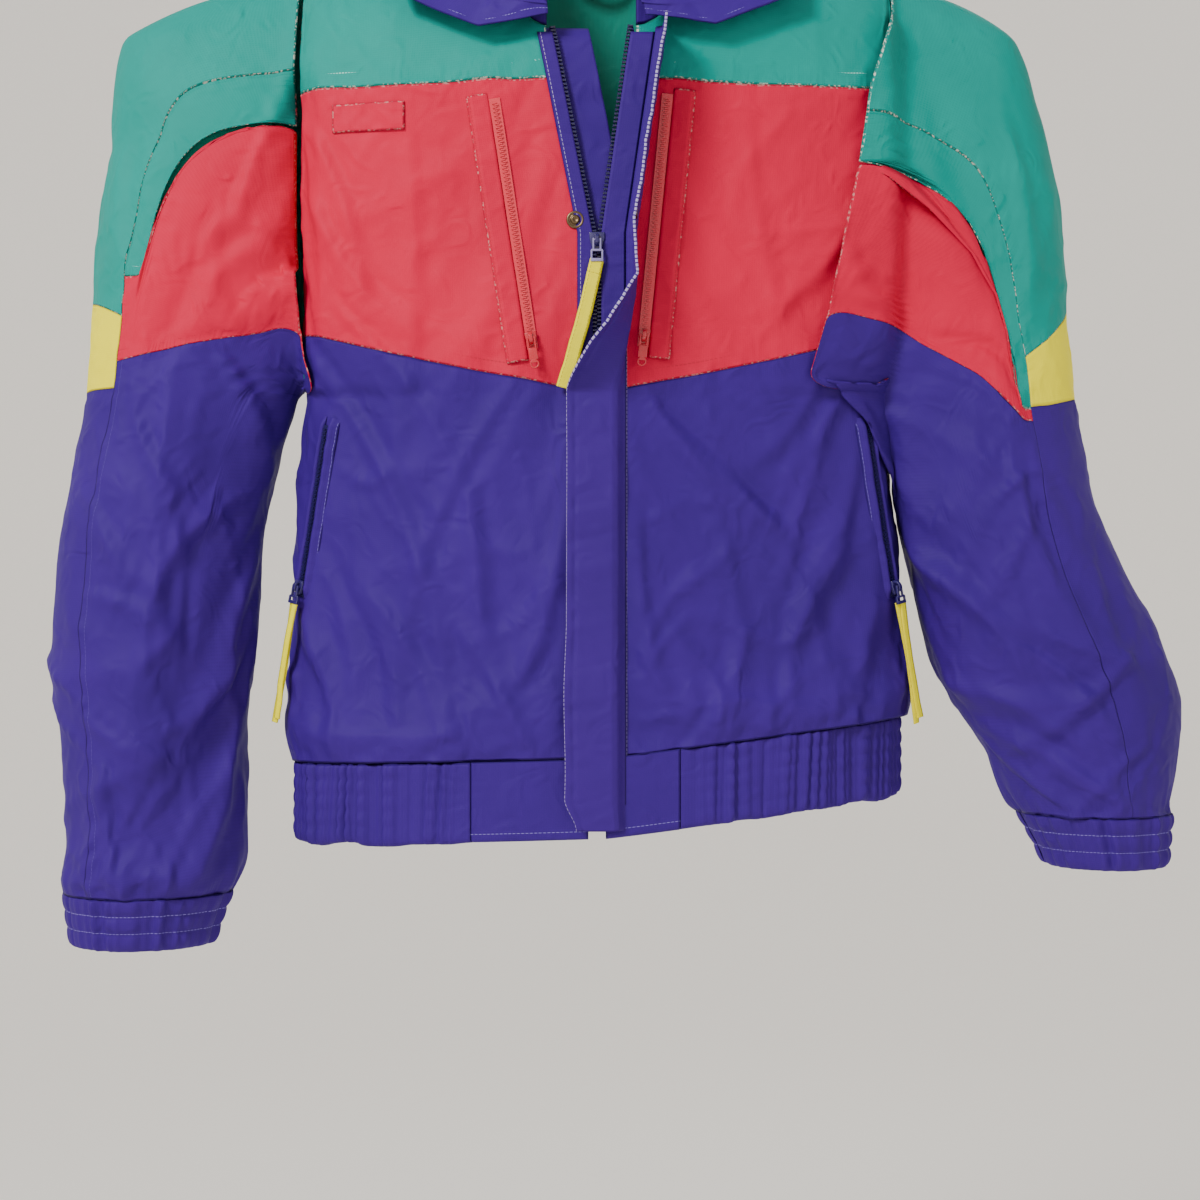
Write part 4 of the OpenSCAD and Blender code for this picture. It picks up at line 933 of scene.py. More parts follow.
def patch(name, place, cols, rows, wall=1.2, smooth_by=1, sewn="tblr",
          wrap=False, outward=None, topstitch="", stitch_at=10.0, rows_at=(), doubled=False):
    """A grid whose points go where place(u, v) says, in millimetres, with u and v from 0 to 1.
    sewn and topstitch name edges: t, b, l and r. rows_at adds rows of stitches at shares v."""
    obj, fu, fv = grid_object(name, cols, rows)
    mesh = obj.data
    points = place(fu, fv)
    mesh.vertices.foreach_set("co", (points * MM).ravel())
    line, still = np.linspace(0, 1, 60), np.ones(60)

    def longest(path):
        """The longest of five lines across the grid."""
        return max(np.linalg.norm(np.diff(path(at * still), axis=0), axis=1).sum()
                   for at in (0.05, 0.25, 0.5, 0.75, 0.95))

    wide, tall = longest(lambda at: place(line, at)), longest(lambda at: place(at, line))
    obj["run_across"], obj["run_along"] = float(wide), float(tall)
    low, high = place(fu, fv * 0), place(fu, fv * 0 + 1)
    height = tall if doubled else np.maximum(np.linalg.norm(high - low, axis=1), 1)
    width = np.full(len(fu), float(wide))
    far = np.full(len(fu), 99.0)
    reach = {"b": fv * height, "t": (1 - fv) * height, "l": fu * width, "r": (1 - fu) * width}

    def nearest(edges, names):
        return np.min([far] + [reach[e] for e in edges if e in names], axis=0)

    seam = np.stack([nearest("tb", sewn), nearest("lr", sewn), far], -1)
    row = np.min([far] + [np.abs(fv - at) * height for at in rows_at], axis=0)
    stitch = np.stack([np.minimum(np.abs(nearest("tb", topstitch) - stitch_at), row),
                       np.abs(nearest("lr", topstitch) - stitch_at), far], -1)
    write_seam(mesh, np.stack([fu * wide, fv * tall], -1), seam, stitch)
    bm = bmesh.new()
    bm.from_mesh(mesh)
    if wrap:
        bmesh.ops.remove_doubles(bm, verts=bm.verts, dist=2e-5)
    bm.normal_update()
    if outward is None:
        votes = sum(f.normal.dot(Vector((0, -1, 0)) if f.calc_center_median().y < SIDE_Y * MM
                                 else Vector((0, 1, 0))) for f in bm.faces)
    else:
        centre = Vector(outward) * MM
        votes = sum(f.normal.dot(f.calc_center_median() - centre) for f in bm.faces)
    if votes < 0:
        bmesh.ops.reverse_faces(bm, faces=bm.faces)
    bm.to_mesh(mesh)
    bm.free()
    mesh.shade_smooth()
    if smooth_by:
        soft = obj.modifiers.new("Smooth", "SUBSURF")
        soft.levels = soft.render_levels = smooth_by
        soft.boundary_smooth = "PRESERVE_CORNERS"
    if wall:
        thick = obj.modifiers.new("Wall", "SOLIDIFY")
        thick.thickness = wall * MM
        thick.offset = -1
    return obj


SHEET_LEAST = 0.0101  # metres; a narrower strip still counts as this wide


def declare(obj, held_as):
    """Prints a piece's cut size and area as a sheet of cloth, with 2% more cut than its finished
    size.
    """
    area = 1.02 * sum(p.area for p in obj.data.polygons)
    wide, tall = (1.02 * MM * obj[k] for k in ("run_across", "run_along"))
    tall = max(tall, SHEET_LEAST)
    wide = min(max(wide, 1.001 * area / tall), area / tall / 0.4)
    print("sheet", obj.name, "cut", round(wide, 4), "x", round(tall, 4), "m, area",
          round(area, 4), "m2,", held_as)


# %% [markdown]
# Each front has three panels one above the other, and so has the back. The chest seam is a
# shallow V, which the height lines of the drape follow, so the panels need no cutting.

# %% Body panels
PANEL_COLS = 84
ZONES = (("lower_front", 0, 84, purple_nylon, "purple_shell", ""),
         ("chest_panel", 1, 70, red_nylon, "red_shell", "b"),
         ("front_yoke", 2, 44, teal_nylon, "teal_shell", "b"))
for label, side in (("right", RIGHT), ("left", LEFT)):
    drape = drapes[f"front_{label}"]
    for part, zone, rows, material, slot_name, tops in ZONES:
        made = patch(f"{label}_{part}_cloth",
                     lambda u, v, drape=drape, zone=zone: drape.at(u, zone + v), PANEL_COLS, rows,
                     topstitch=tops)
        finish_piece(made, "jacket_body", material, [f"{label}_{part}"])
        declare(made, "hung")
for part, zone, rows, material, slot_name, tops in (
        ("back_lower_panel", 0, 84, purple_nylon, "purple_shell", ""),
        ("back_mid_panel", 1, 70, red_nylon, "red_shell", "b"),
        ("back_yoke", 2, 44, teal_nylon, "teal_shell", "b")):
    made = patch(f"{part}_cloth",
                 lambda u, v, zone=zone: drapes["back"].at(u * 2 - 1, zone + v),
                 2 * PANEL_COLS, rows, topstitch=tops)
    finish_piece(made, "jacket_body", material, [part])
    declare(made, "hung")

# %% [markdown]
# A sleeve has a teal cap, a red front, a yellow band and a purple lower part. Their seams cross
# the sleeve at a slant, so each panel has its own top and bottom line for every angle.

# %% Sleeve panels
UNDER = 25.0  # how far past the inside line the front panels reach
BAND_TOP = {RIGHT: (0.70, 0.70, 0.69), LEFT: (0.76, 0.67, 0.80)}  # at the back, outside and seam
BAND_LOW = {RIGHT: (0.99, 0.98, 0.97), LEFT: (1.0, 0.985, 1.03)}


def band_edge(side, table):
    return lambda th: np.interp(th, (-180 + UNDER, 0, OUTER_TH[side]), table[side])


def on_sleeve(drape, th0, th1, low, high):
    def place(u, v):
        th = mix(th0, th1, u)
        return drape.at((th + 180) % 360 - 180, mix(low(th), high(th), v))
    return place


for label, side in (("right", RIGHT), ("left", LEFT)):
    drape = drapes[f"sleeve_{label}"]
    outer = OUTER_TH[side]
    swing = ("jacket_body", f"{label}_sleeve", (side * 0.243, -0.05, -0.36),
             (side * 0.384, -0.05, -0.50))
    top, bottom = band_edge(side, BAND_TOP), band_edge(side, BAND_LOW)

    def red_top(th, side=side):
        return teal_front[side](np.minimum(th, 180))

    def red_bottom(th, side=side):
        return red_low(side, np.minimum(th, 180))

    spans = (
        ("cap_front", outer, teal_end[side], lambda t: 0 * t, teal_front[side], 36, 60,
         teal_nylon, "teal_shell", [], "t", "l"),
        ("cap", UNDER - 180, outer, lambda t: 0 * t, top, 100, 70, teal_nylon, "teal_shell",
         ["sleeve_cap"], "t", ""),
        ("front_panel", outer, 180 + UNDER, red_top, red_bottom, 100, 70, red_nylon,
         "red_shell", ["sleeve_front_panel"], "t", "l"),
        ("band", UNDER - 180, outer, top, bottom, 100, 24, yellow_nylon, "yellow_shell",
         ["sleeve_band"], "", ""),
        ("lower_front", outer, 180 + UNDER, red_bottom, lambda t: 0 * t + 2, 100, 120,
         purple_nylon, "purple_shell", ["lower_sleeve"], "", "l"),
        ("lower_back", UNDER - 180, outer, bottom, lambda t: 0 * t + 2, 110, 100, purple_nylon,
         "purple_shell", [], "", ""),
    )
    for part, th0, th1, low, high, cols, rows, material, slot_name, nodes, flat, tall in spans:
        made = patch(f"{label}_sleeve_{part}_cloth", on_sleeve(drape, th0, th1, low, high),
                     cols, rows, topstitch=flat + tall,
                     outward=(side * (330 if "lower" in part else 300), SIDE_Y,
                              -400 if "lower" in part else -200),
                     sewn="tblr" if "lower" not in part else "tbl")
        finish_piece(made, swing, material, [f"{label}_{n}" for n in nodes])
        declare(made, "hung")

# %% [markdown]
# ## Lining
# A teal lining hangs inside the padding. It shows in the open neck and from below, so it is one
# smooth layer behind each panel, and it stands for the padding and the pocket bags, which no one
# can see.

# %% Lining
LINING_D = 13.0
for name, place, cols, nodes in (
        ("right_front_lining", lambda u, v: front_right(u, v * 2.97, LINING_D), 50,
         ["pocket_bags"]),
        ("left_front_lining", lambda u, v: front_left(u, v * 2.97, LINING_D), 50, []),
        ("back_lining", lambda u, v: back(u * 2 - 1, v * 2.97, LINING_D), 90,
         ["torso_lining", "torso_insulation"])):
    made = patch(name, place, cols, 90, wall=0.6, smooth_by=0, sewn="")
    finish_piece(made, "jacket_body", teal_lining, nodes)
    declare(made, "hung")
for label, side in (("right", RIGHT), ("left", LEFT)):
    made = patch(f"{label}_sleeve_lining_cloth",
                 lambda u, v, side=side: sleeve_point(side, u * 360 - 180, v * 1.95 + 0.05, 11.0),
                 60, 90, wall=0.6, smooth_by=0, sewn="", wrap=True,
                 outward=(side * 330, SIDE_Y, -400))
    finish_piece(made, ("jacket_body", f"{label}_sleeve", (side * 0.243, -0.05, -0.36),
                        (side * 0.384, -0.05, -0.50)), teal_lining,
                 [f"{label}_sleeve_lining", f"{label}_sleeve_insulation"])
    declare(made, "hung")

# %% [markdown]
# ## Elastic hem and cuffs
# A wide elastic is sewn inside a folded casing with rows of stitches while it is stretched. When
# it shrinks back the casing gathers into upright pleats, which the rows pinch. So the casing is a
# strip with a folded cross-section, pushed in and out by an uneven wave.

# %% Hem
FOLD_D = 9.0
HEM_ROWS = 5


def casing(share):
    """Depth and height share of a folded casing: down the outside, round the fold, up inside."""
    down = np.clip(share / 0.46, 0, 1)
    turn = np.clip((share - 0.46) / 0.08, 0, 1) * np.pi
    rise = np.clip((share - 0.54) / 0.46, 0, 1)
    depth = (1 - np.cos(turn)) / 2
    low = 1 - down + rise
    return depth, low - 0.03 * np.sin(turn)


def hem_place(angles, pleated):
    def place(u, v):
        a = mix(angles[0], angles[1], u)
        depth, up = casing(1 - v)
        run = np.radians(a) * 235
        x = HEM_HALF * np.sin(a * np.pi / 180)
        z = hem_line(x) - 0.6 - (HEM_H - 0.6) * (1 - up)
        row = np.abs(np.sin(np.pi * HEM_ROWS * up)) ** 0.6
        wave = wander(run / 5.6 + up * 0.7 * wander(run / 40, 5), 21, 2)
        fold = np.abs(wave) ** 0.8 * np.sign(wave)
        ends = smooth(u / 0.02) * smooth((1 - u) / 0.02)
        out = (2.5 * fold * (0.55 + 0.45 * row) + 1.2 * row) * ends * (1 - depth) * pleated
        out = out + (1 - pleated) * 0.8 * wander(run / 30, 8, 1) * (1 - depth)
        d = FOLD_D * depth - out
        rad = a * np.pi / 180
        c = np.cos(rad)
        deep = np.where(c > 0, FRONT_DEEP, BACK_DEEP)
        y = SIDE_Y - np.sign(c) * (deep - d) * np.abs(c) ** (2 * BOXY)
        z = z + 1.6 * wander(run / 34, 9, 2) * (1 - up) * pleated
        return np.stack([(HEM_HALF - d) * np.sin(rad), y, z], -1)
    return place


def hem_angle(x):
    return math.degrees(math.asin(x / HEM_HALF))


RIGHT_TAB_X, LEFT_TAB_X = 99.0, 65.0
for name, angles, cols, pleated, nodes in (
        ("hem_band_cloth", (hem_angle(LEFT_TAB_X) + 0.1, 359.9 - hem_angle(RIGHT_TAB_X)), 760,
         1.0, ["hem_band", "hem_elastic"]),
        ("right_hem_tab_cloth", (-hem_angle(RIGHT_TAB_X), -hem_angle(ZIP_EDGE)), 60, 0.0,
         ["right_hem_tab"]),
        ("left_hem_tab_cloth", (hem_angle(ZIP_EDGE), hem_angle(LEFT_TAB_X)), 40, 0.0,
         ["left_hem_tab"])):
    shares = [1 - (1 - k / HEM_ROWS) * 0.46 for k in range(1, HEM_ROWS)] if pleated else \
        [1 - 0.46 * 0.08, 1 - 0.46 * 0.92]
    made = patch(name, hem_place(angles, pleated), cols, 46, wall=0.8,
                 smooth_by=0 if pleated else 1, sewn="tb" if pleated else "tblr",
                 rows_at=shares, topstitch="" if pleated else "lr", stitch_at=4.0,
                 doubled=True)
    finish_piece(made, "jacket_body", purple_nylon, nodes)
    declare(made, "gathered")


# %% [markdown]
# A cuff is the same folded casing as the hem, run round the end of the sleeve.

# %% Cuffs
def cuff_place(side):
    def place(u, v):
        th = u * 360 - 180
        depth, up = casing(1 - v)
        at = 2 + (1 - up) * CUFF_H / SLEEVE_DROP[side]
        run = (u % 1.0) * 56
        row = np.abs(np.sin(np.pi * 3 * up)) ** 0.7
        wave = wander(run * 1.0, 31 + side, 2)
        last = wander(np.full_like(run, 56.0), 31 + side, 2)
        first = wander(np.zeros_like(run), 31 + side, 2)
        wave = wave - (last - first) * smooth((u - 0.9) / 0.1)
        out = (2.7 * wave * (0.5 + 0.5 * row) + 1.3 * row + 1.0) * (1 - depth)
        return sleeve_point(side, th, at, 7.0 * depth - out)
    return place


for label, side in (("right", RIGHT), ("left", LEFT)):
    made = patch(f"{label}_cuff_cloth", cuff_place(side), 240, 40, wall=0.8, smooth_by=0,
                 sewn="tb", wrap=True, outward=(side * 350, SIDE_Y - 14, -780),
                 rows_at=[1 - 0.46 / 3, 1 - 0.92 / 3], doubled=True)
    finish_piece(made, f"{label}_sleeve", purple_nylon,
                 [f"{label}_cuff", f"{label}_cuff_elastic"])
    declare(made, "gathered")

# %% [markdown]
# ## Collar
# The stand follows the neck opening, which hangs open in front. The fall is one wide piece of
# cloth that rolls over the top of the stand and drops on the shoulders, longest at its two
# points.


# %% Collar stand and fall
STAND_H, STAND_T, ROLL_GAP, FALL_T = 38.0, 4.0, 3.2, 3.0
FALL_EDGE = np.array([(0, 0, 36, -28), (45, 68, 24, -10), (90, 150, -50, 18),
                      (105, 166, -104, -4), (120, 156, -146, -54), (150, 92, -156, -80),
                      (180, 38, -156, -74)], float)


def neck_point(u, out, up):
    """Over the neck seam at angle u, 0 at the back and 180 at the front."""
    u, out, up = np.broadcast_arrays(np.asarray(u, float), out, up)
    side = np.where(u < 0, -1.0, 1.0)
    a = np.radians(np.abs(u))
    back = np.abs(u) <= 90
    b = np.pi - a
    edge = ZIP_EDGE + np.where(side < 0, OPEN[RIGHT], OPEN[LEFT])
    x = np.where(back, (NECK_HALF + out) * np.sin(a),
                 mix(edge, NECK_HALF, np.sin(b)) + out * np.sin(b))
    y = np.where(back, SIDE_Y + (NECK_BACK + out) * np.cos(a),
                 SIDE_Y - (NECK_FRONT + out) * np.cos(b))
    z = np.where(back, mix(NECK_BACK_Z, NECK_SIDE_Z, np.sin(a) ** 2),
                 mix(NECK_FRONT_Z, NECK_SIDE_Z, 1 - np.cos(b))) + up
    return np.stack([side * x, y, z], -1)


def edge_point(u, lift):
    a = np.abs(u)
    x, y, z = (np.interp(a, FALL_EDGE[:, 0], FALL_EDGE[:, k]) for k in (1, 2, 3))
    turn = np.radians(a)
    side = np.where(u < 0, -1.0, 1.0)
    return np.stack([side * x, y - lift * np.sign(a - 90) * np.abs(np.cos(turn)),
                     z + lift * np.sin(turn)], -1)


def fall_place(u, v):
    """v runs from the inner top of the stand over the roll to the outer edge."""
    ang = u * 360 - 180
    top = STAND_H
    rows = [neck_point(ang, -STAND_T, top + ROLL_GAP - 2), neck_point(ang, -1, top + 5.4),
            neck_point(ang, 5, top + 5.2), neck_point(ang, 11, top - 4)]
    low = edge_point(ang, FALL_T)
    rows.append(mix(neck_point(ang, 16, top - 12), edge_point(ang, 10), 0.5))
    rows.append(mix(rows[-1], low, 0.55) + np.array([0, 0, 2.2]))
    rows.append(low)
    rows = np.array(rows)
    marks = np.array([0, 0.06, 0.12, 0.2, 0.5, 0.76, 1.0])
    k = np.clip(np.searchsorted(marks, v, "right") - 1, 0, len(marks) - 2)
    f = ((v - marks[k]) / (marks[k + 1] - marks[k]))[..., None]
    n = np.arange(len(ang))
    before, after = rows[np.maximum(k - 1, 0), n], rows[np.minimum(k + 2, 6), n]
    a, b = rows[k, n], rows[k + 1, n]
    p = 0.5 * (2 * a + (b - before) * f + (2 * before - 5 * a + 4 * b - after) * f ** 2
               + (3 * a - before - 3 * b + after) * f ** 3)
    soft = smooth(v / 0.3) * 2.0
    return p + np.stack([0 * v, -soft * np.abs(wander(u * 14, 3, 2)) * (np.abs(ang) > 90),
                         soft * wander(u * 11 + v * 2, 4, 2)], -1)


stand = patch("collar_stand_cloth",
              lambda u, v: neck_point(u * 360 - 180, 0.5 * wander(u * 30, 6, 2), 1.6 + v * 36.4),
              160, 16, wall=3.6, smooth_by=0, topstitch="t", stitch_at=5.0)
finish_piece(stand, "jacket_body", purple_nylon, ["collar_stand"])
declare(stand, "folded")
fall = patch("collar_fall_cloth", fall_place, 240, 60, wall=2.6, smooth_by=0, sewn="b",
             topstitch="tlr", stitch_at=6.0)
finish_piece(fall, "jacket_body", purple_nylon, ["collar_fall"])
declare(fall, "folded")

# %% [markdown]
# ## Front opening
# The two teeth chains part above the slider. A flap is sewn beside the left chain and covers the
# closed part, and it turns outward where the opening gapes. Behind the teeth hangs a wind guard.


# %% Flap and guard
def zip_edge_y(z, d):
    k = np.clip((z - YOKE_Z) / (NECK_FRONT_Z - YOKE_Z), 0, 1)
    return SIDE_Y - mix(NECK_FRONT - d, FRONT_DEEP - d, np.sqrt(1 - k * k))


FLAP_X, FLAP_W, FLAP_STAND, FLAP_T = 21.0, 46.0, 11.0, 2.4
FLAP_LOW, FLAP_HIGH = -706.0, -79.0


def flap_point(z, w, h):
    angle = np.interp(z - CHEVRON_Z, [0, 16, 48, 84], [0, 24, 62, 90])
    a = np.radians(np.where(w <= 0, 0, angle))
    return np.stack([FLAP_X + lean(LEFT, z) - w * np.cos(a) + h * np.sin(a),
                     zip_edge_y(z, 0) - 0.5 - w * np.sin(a) - h * np.cos(a), z], -1)


def flap_place(u, v):
    """u runs from the seam to the free edge and v from the hem to the neck."""
    z = mix(FLAP_LOW, FLAP_HIGH, v)
    w = mix(-2.4, FLAP_W, u)
    tip = smooth((FLAP_LOW + 26 - z) / 26)
    w = w - 10 * tip * u
    h = FLAP_STAND * smooth(np.clip(u / 0.22, 0, 1)) * 0.96
    wave = 1.3 * wander(z / 48, 12, 2) * u + 0.5 * wander(z / 11 + u, 13, 2) * smooth(u * 3)
    dent = -1.2 * np.exp(-((u - 0.86) / 0.035) ** 2) * (0.7 + 0.5 * wander(z / 9, 14, 2))
    dent = dent - 0.9 * np.exp(-((u - 0.2) / 0.03) ** 2)
    p = flap_point(z, w, np.maximum(h + wave + dent, 0.2))
    p[..., 0] += 1.6 * wander(z / 60, 15, 1) * u
    return p


flap = patch("storm_flap_cloth", flap_place, 40, 300, wall=2.0, smooth_by=0, sewn="l",
             topstitch="lrb", stitch_at=5.0, outward=(30, 40, -400))
again = flap.data.attributes["stitch"]
values = np.zeros(len(flap.data.vertices) * 3)
again.data.foreach_get("vector", values)
values = values.reshape(-1, 3)
values[:, 1] = np.minimum(values[:, 1], np.abs(values[:, 1] - 5.0))
again.data.foreach_set("vector", values.ravel())
finish_piece(flap, ("jacket_body", "storm_flap", (0.0912, -0.0912, -0.4),
                    (0.1004, -0.1004, -0.4)), flap_nylon, ["storm_flap"])
declare(flap, "folded")


def strip_place(side, x0, x1, z0, z1, depth, taper=0.0, lean_side=None, flutter=0.0):
    who = side if lean_side is None else lean_side

    def place(u, v):
        z = mix(z0, z1, v)
        k = np.clip((z - YOKE_Z) / (NECK_FRONT_Z - YOKE_Z), 0, None)
        x = mix(x0, x1 * (1 - taper * k), u)
        y = zip_edge_y(z, depth) + flutter * u * wander(z / 26, 17, 2)
        return np.stack([side * x + who * lean(who, z), y, z], -1)
    return place


ZIP_LOW, ZIP_HIGH = -686.0, -76.0
for label, side in (("right", RIGHT), ("left", LEFT)):
    tape = patch(f"{label}_tape_cloth",
                 strip_place(side, 0.6 if side == RIGHT else 2.6, 17.5, ZIP_LOW, ZIP_HIGH, 2.0,
                             0.75), 10, 200, wall=0.8, smooth_by=0, sewn="r")
    finish_piece(tape, "jacket_body", purple_nylon, [f"{label}_zipper_tape"])
    declare(tape, "laid")
for label, side, reach in (("right", RIGHT, 15.5), ("left", LEFT, 22.5)):
    edging = patch(f"{label}_edge_facing",
                   strip_place(side, 3.4, reach, ZIP_LOW, ZIP_HIGH - 6, -1.4), 10, 200, wall=0.8,
                   smooth_by=0, sewn="r", topstitch="r", stitch_at=2.5)
    finish_piece(edging, "jacket_body", flap_nylon, [])
    declare(edging, "laid")
guard = patch("wind_guard_cloth",
              strip_place(LEFT, -14.0, 26.0, ZIP_LOW, ZIP_HIGH, 4.4, 0.0, RIGHT, 1.6),
              30, 200, wall=1.0, smooth_by=0, sewn="", topstitch="r", stitch_at=5.0)
finish_piece(guard, "jacket_body", purple_nylon, ["wind_guard"])
declare(guard, "laid")


# %% [markdown]
# Teeth, boxes and bars are blocks with rounded edges. Hundreds of teeth repeat, so each is only
# two small bevelled blocks: a head that grips and a root on the tape.

# %% Solid shapes
def block(bm, centre, size, at=None):
    """Adds a box and moves it by the frame at."""
    made = bmesh.ops.create_cube(bm, size=1.0)
    bmesh.ops.scale(bm, verts=made["verts"], vec=size)
    bmesh.ops.translate(bm, verts=made["verts"], vec=centre)
    if at is not None:
        bmesh.ops.transform(bm, matrix=at, verts=made["verts"])


def rounded(obj, width):
    """Gives every sharp edge a small radius."""
    round_off = obj.modifiers.new("Rounding", "BEVEL")
    round_off.width, round_off.segments, round_off.limit_method = width * MM, 3, "ANGLE"
    return obj


def solid(name, boxes=(), rods=(), spin=None, bevel=0.4):
    """Boxes (centre, size) and rods (centre, radius, length, axis) in one mesh, rounded."""
    bm = bmesh.new()
    for centre, size in boxes:
        block(bm, centre, size)
    for centre, radius, length, axis in rods:
        turn = {"x": Matrix.Rotation(math.pi / 2, 4, "Y"),
                "y": Matrix.Rotation(math.pi / 2, 4, "X"), "z": Matrix.Identity(4)}[axis]
        bmesh.ops.create_cone(bm, cap_ends=True, segments=32, radius1=radius, radius2=radius,
                              depth=length, matrix=Matrix.Translation(centre) @ turn)
    if spin is not None:
        bm.transform(spin)
    bmesh.ops.scale(bm, verts=bm.verts, vec=(MM, MM, MM))
    return rounded(object_of(bm, name), bevel)


TOOTH_PITCH = 3.1
for label, side in (("right", RIGHT), ("left", LEFT)):
    heights = np.arange(ZIP_LOW + 1, ZIP_HIGH - 1, TOOTH_PITCH)
    if side == LEFT:
        heights = heights + TOOTH_PITCH / 2
    bm = bmesh.new()
    for z in heights:
        y = float(zip_edge_y(z, 0)) + 0.6
        x0 = side * 0.9 + side * float(lean(side, z))
        for size, off in (((3.6, 2.6, 1.7), 1.7), ((1.5, 2.4, 2.3), -0.1)):
            block(bm, (x0 + side * off, y, z), size)
    bmesh.ops.bevel(bm, geom=bm.edges[:], offset=0.35, segments=1, affect="EDGES")
    bmesh.ops.scale(bm, verts=bm.verts, vec=(MM, MM, MM))
    teeth = object_of(bm, f"{label}_teeth", shade=False)
    finish_piece(teeth, "jacket_body", navy_acetal, [f"{label}_zipper_teeth"])

box = solid("bottom_box", boxes=[((0, -149.4, -693), (7.4, 3.2, 13.4))], bevel=0.8)
finish_piece(box, "jacket_body", old_brass, ["zipper_bottom_box"])
SNAP_Z, SNAP_X = (-230.0, -386.9, -524.2, -666.0), 17.0


def lathe(name, profile, places, turns):
    """Spins a profile of (radius, height) round the y axis at each place."""
    bm = bmesh.new()
    for place, turn in zip(places, turns):
        last = None
        for radius, height in profile:
            ring = []
            for k in range(36):
                angle = k * math.pi / 18
                spot = (radius * math.cos(angle), -height, radius * math.sin(angle))
                ring.append(bm.verts.new(Vector(place) + turn @ Vector(spot)))
            if last:
                for k in range(36):
                    bm.faces.new((last[k], last[(k + 1) % 36], ring[(k + 1) % 36], ring[k]))
            else:
                bm.faces.new(ring[::-1])
            last = ring
        bm.faces.new(last)
    bmesh.ops.recalc_face_normals(bm, faces=bm.faces)
    bmesh.ops.scale(bm, verts=bm.verts, vec=(MM, MM, MM))
    return object_of(bm, name)


stud = [(7.0, 0.0), (7.0, 0.9), (6.5, 1.5), (5.6, 1.6), (4.6, 0.9), (3.9, 0.9), (3.6, 1.8),
        (3.1, 2.6), (2.0, 2.9), (1.4, 2.2), (0.4, 2.1)]
studs = lathe("snap_studs_brass", stud,
              [(-SNAP_X, float(body_y(RIGHT, SNAP_X, z)) - 0.2, z) for z in SNAP_Z],
              [Matrix.Identity(3)] * 4)
finish_piece(studs, "jacket_body", old_brass, ["snap_studs"])
socket = [(6.5, 0.0), (6.5, 1.0), (6.0, 1.6), (4.4, 1.7), (3.9, 1.0), (3.2, 0.6), (0.4, 0.6)]
places, turns = [], []
for z in SNAP_Z:
    angle = math.radians(float(np.interp(z - CHEVRON_Z, [0, 16, 48, 84], [0, 24, 62, 90])))
    places.append(flap_point(np.float64(z), FLAP_X + SNAP_X, FLAP_STAND - FLAP_T - 0.4))
    turns.append(Matrix.Rotation(angle, 3, "Z") @ Matrix.Rotation(math.pi, 3, "Z"))
sockets = lathe("snap_sockets_brass", socket, places, turns)
finish_piece(sockets, "storm_flap", old_brass, ["snap_sockets"])

# %% [markdown]
# ## Sliders, pulls and pockets
# Each slider and pull is built about its own resting point on its zipper, with z up the zipper
# and y into the cloth, and then moved there. The webbing pulls are bound strips of cloth.


# %% Zipper frames
def frame_of(columns):
    right, inward, up, place = (Vector(c) for c in columns)
    m = Matrix.Identity(4)
    for k in range(3):
        m[k][0], m[k][1], m[k][2], m[k][3] = right[k], inward[k], up[k], place[k]
    return m


def front_frame(side, low, high):
    """A frame on the front from one point up to another, as the solids have it."""
    def skin(x, z):
        q = np.clip((x - ZIP_EDGE) / (half_width(z) - ZIP_EDGE), 0, 1)
        return Vector((side * x, SIDE_Y - float(oval(q, z, FRONT_DEEP, 0)), z))
    place = skin(*low)
    up = (skin(*high) - place).normalized()
    x, z = (low[0] + high[0]) / 2, (low[1] + high[1]) / 2
    across = (side * (skin(x + 4, z) - skin(x - 4, z))).normalized()
    inward = up.cross(across).normalized()
    return frame_of((inward.cross(up), inward, up, place))


AT_MAIN = frame_of(((1, 0, 0), (0, 1, 0), (0, 0, 1), (0, FRONT_Y, SLIDER_Z)))
AT = {("chest", RIGHT): front_frame(RIGHT, (52, -318), (80, -136)),
      ("chest", LEFT): front_frame(LEFT, (37, -316), (55, -132)),
      ("side", RIGHT): front_frame(RIGHT, (237, -511), (216, -387)),
      ("side", LEFT): front_frame(LEFT, (237, -511), (216, -387))}


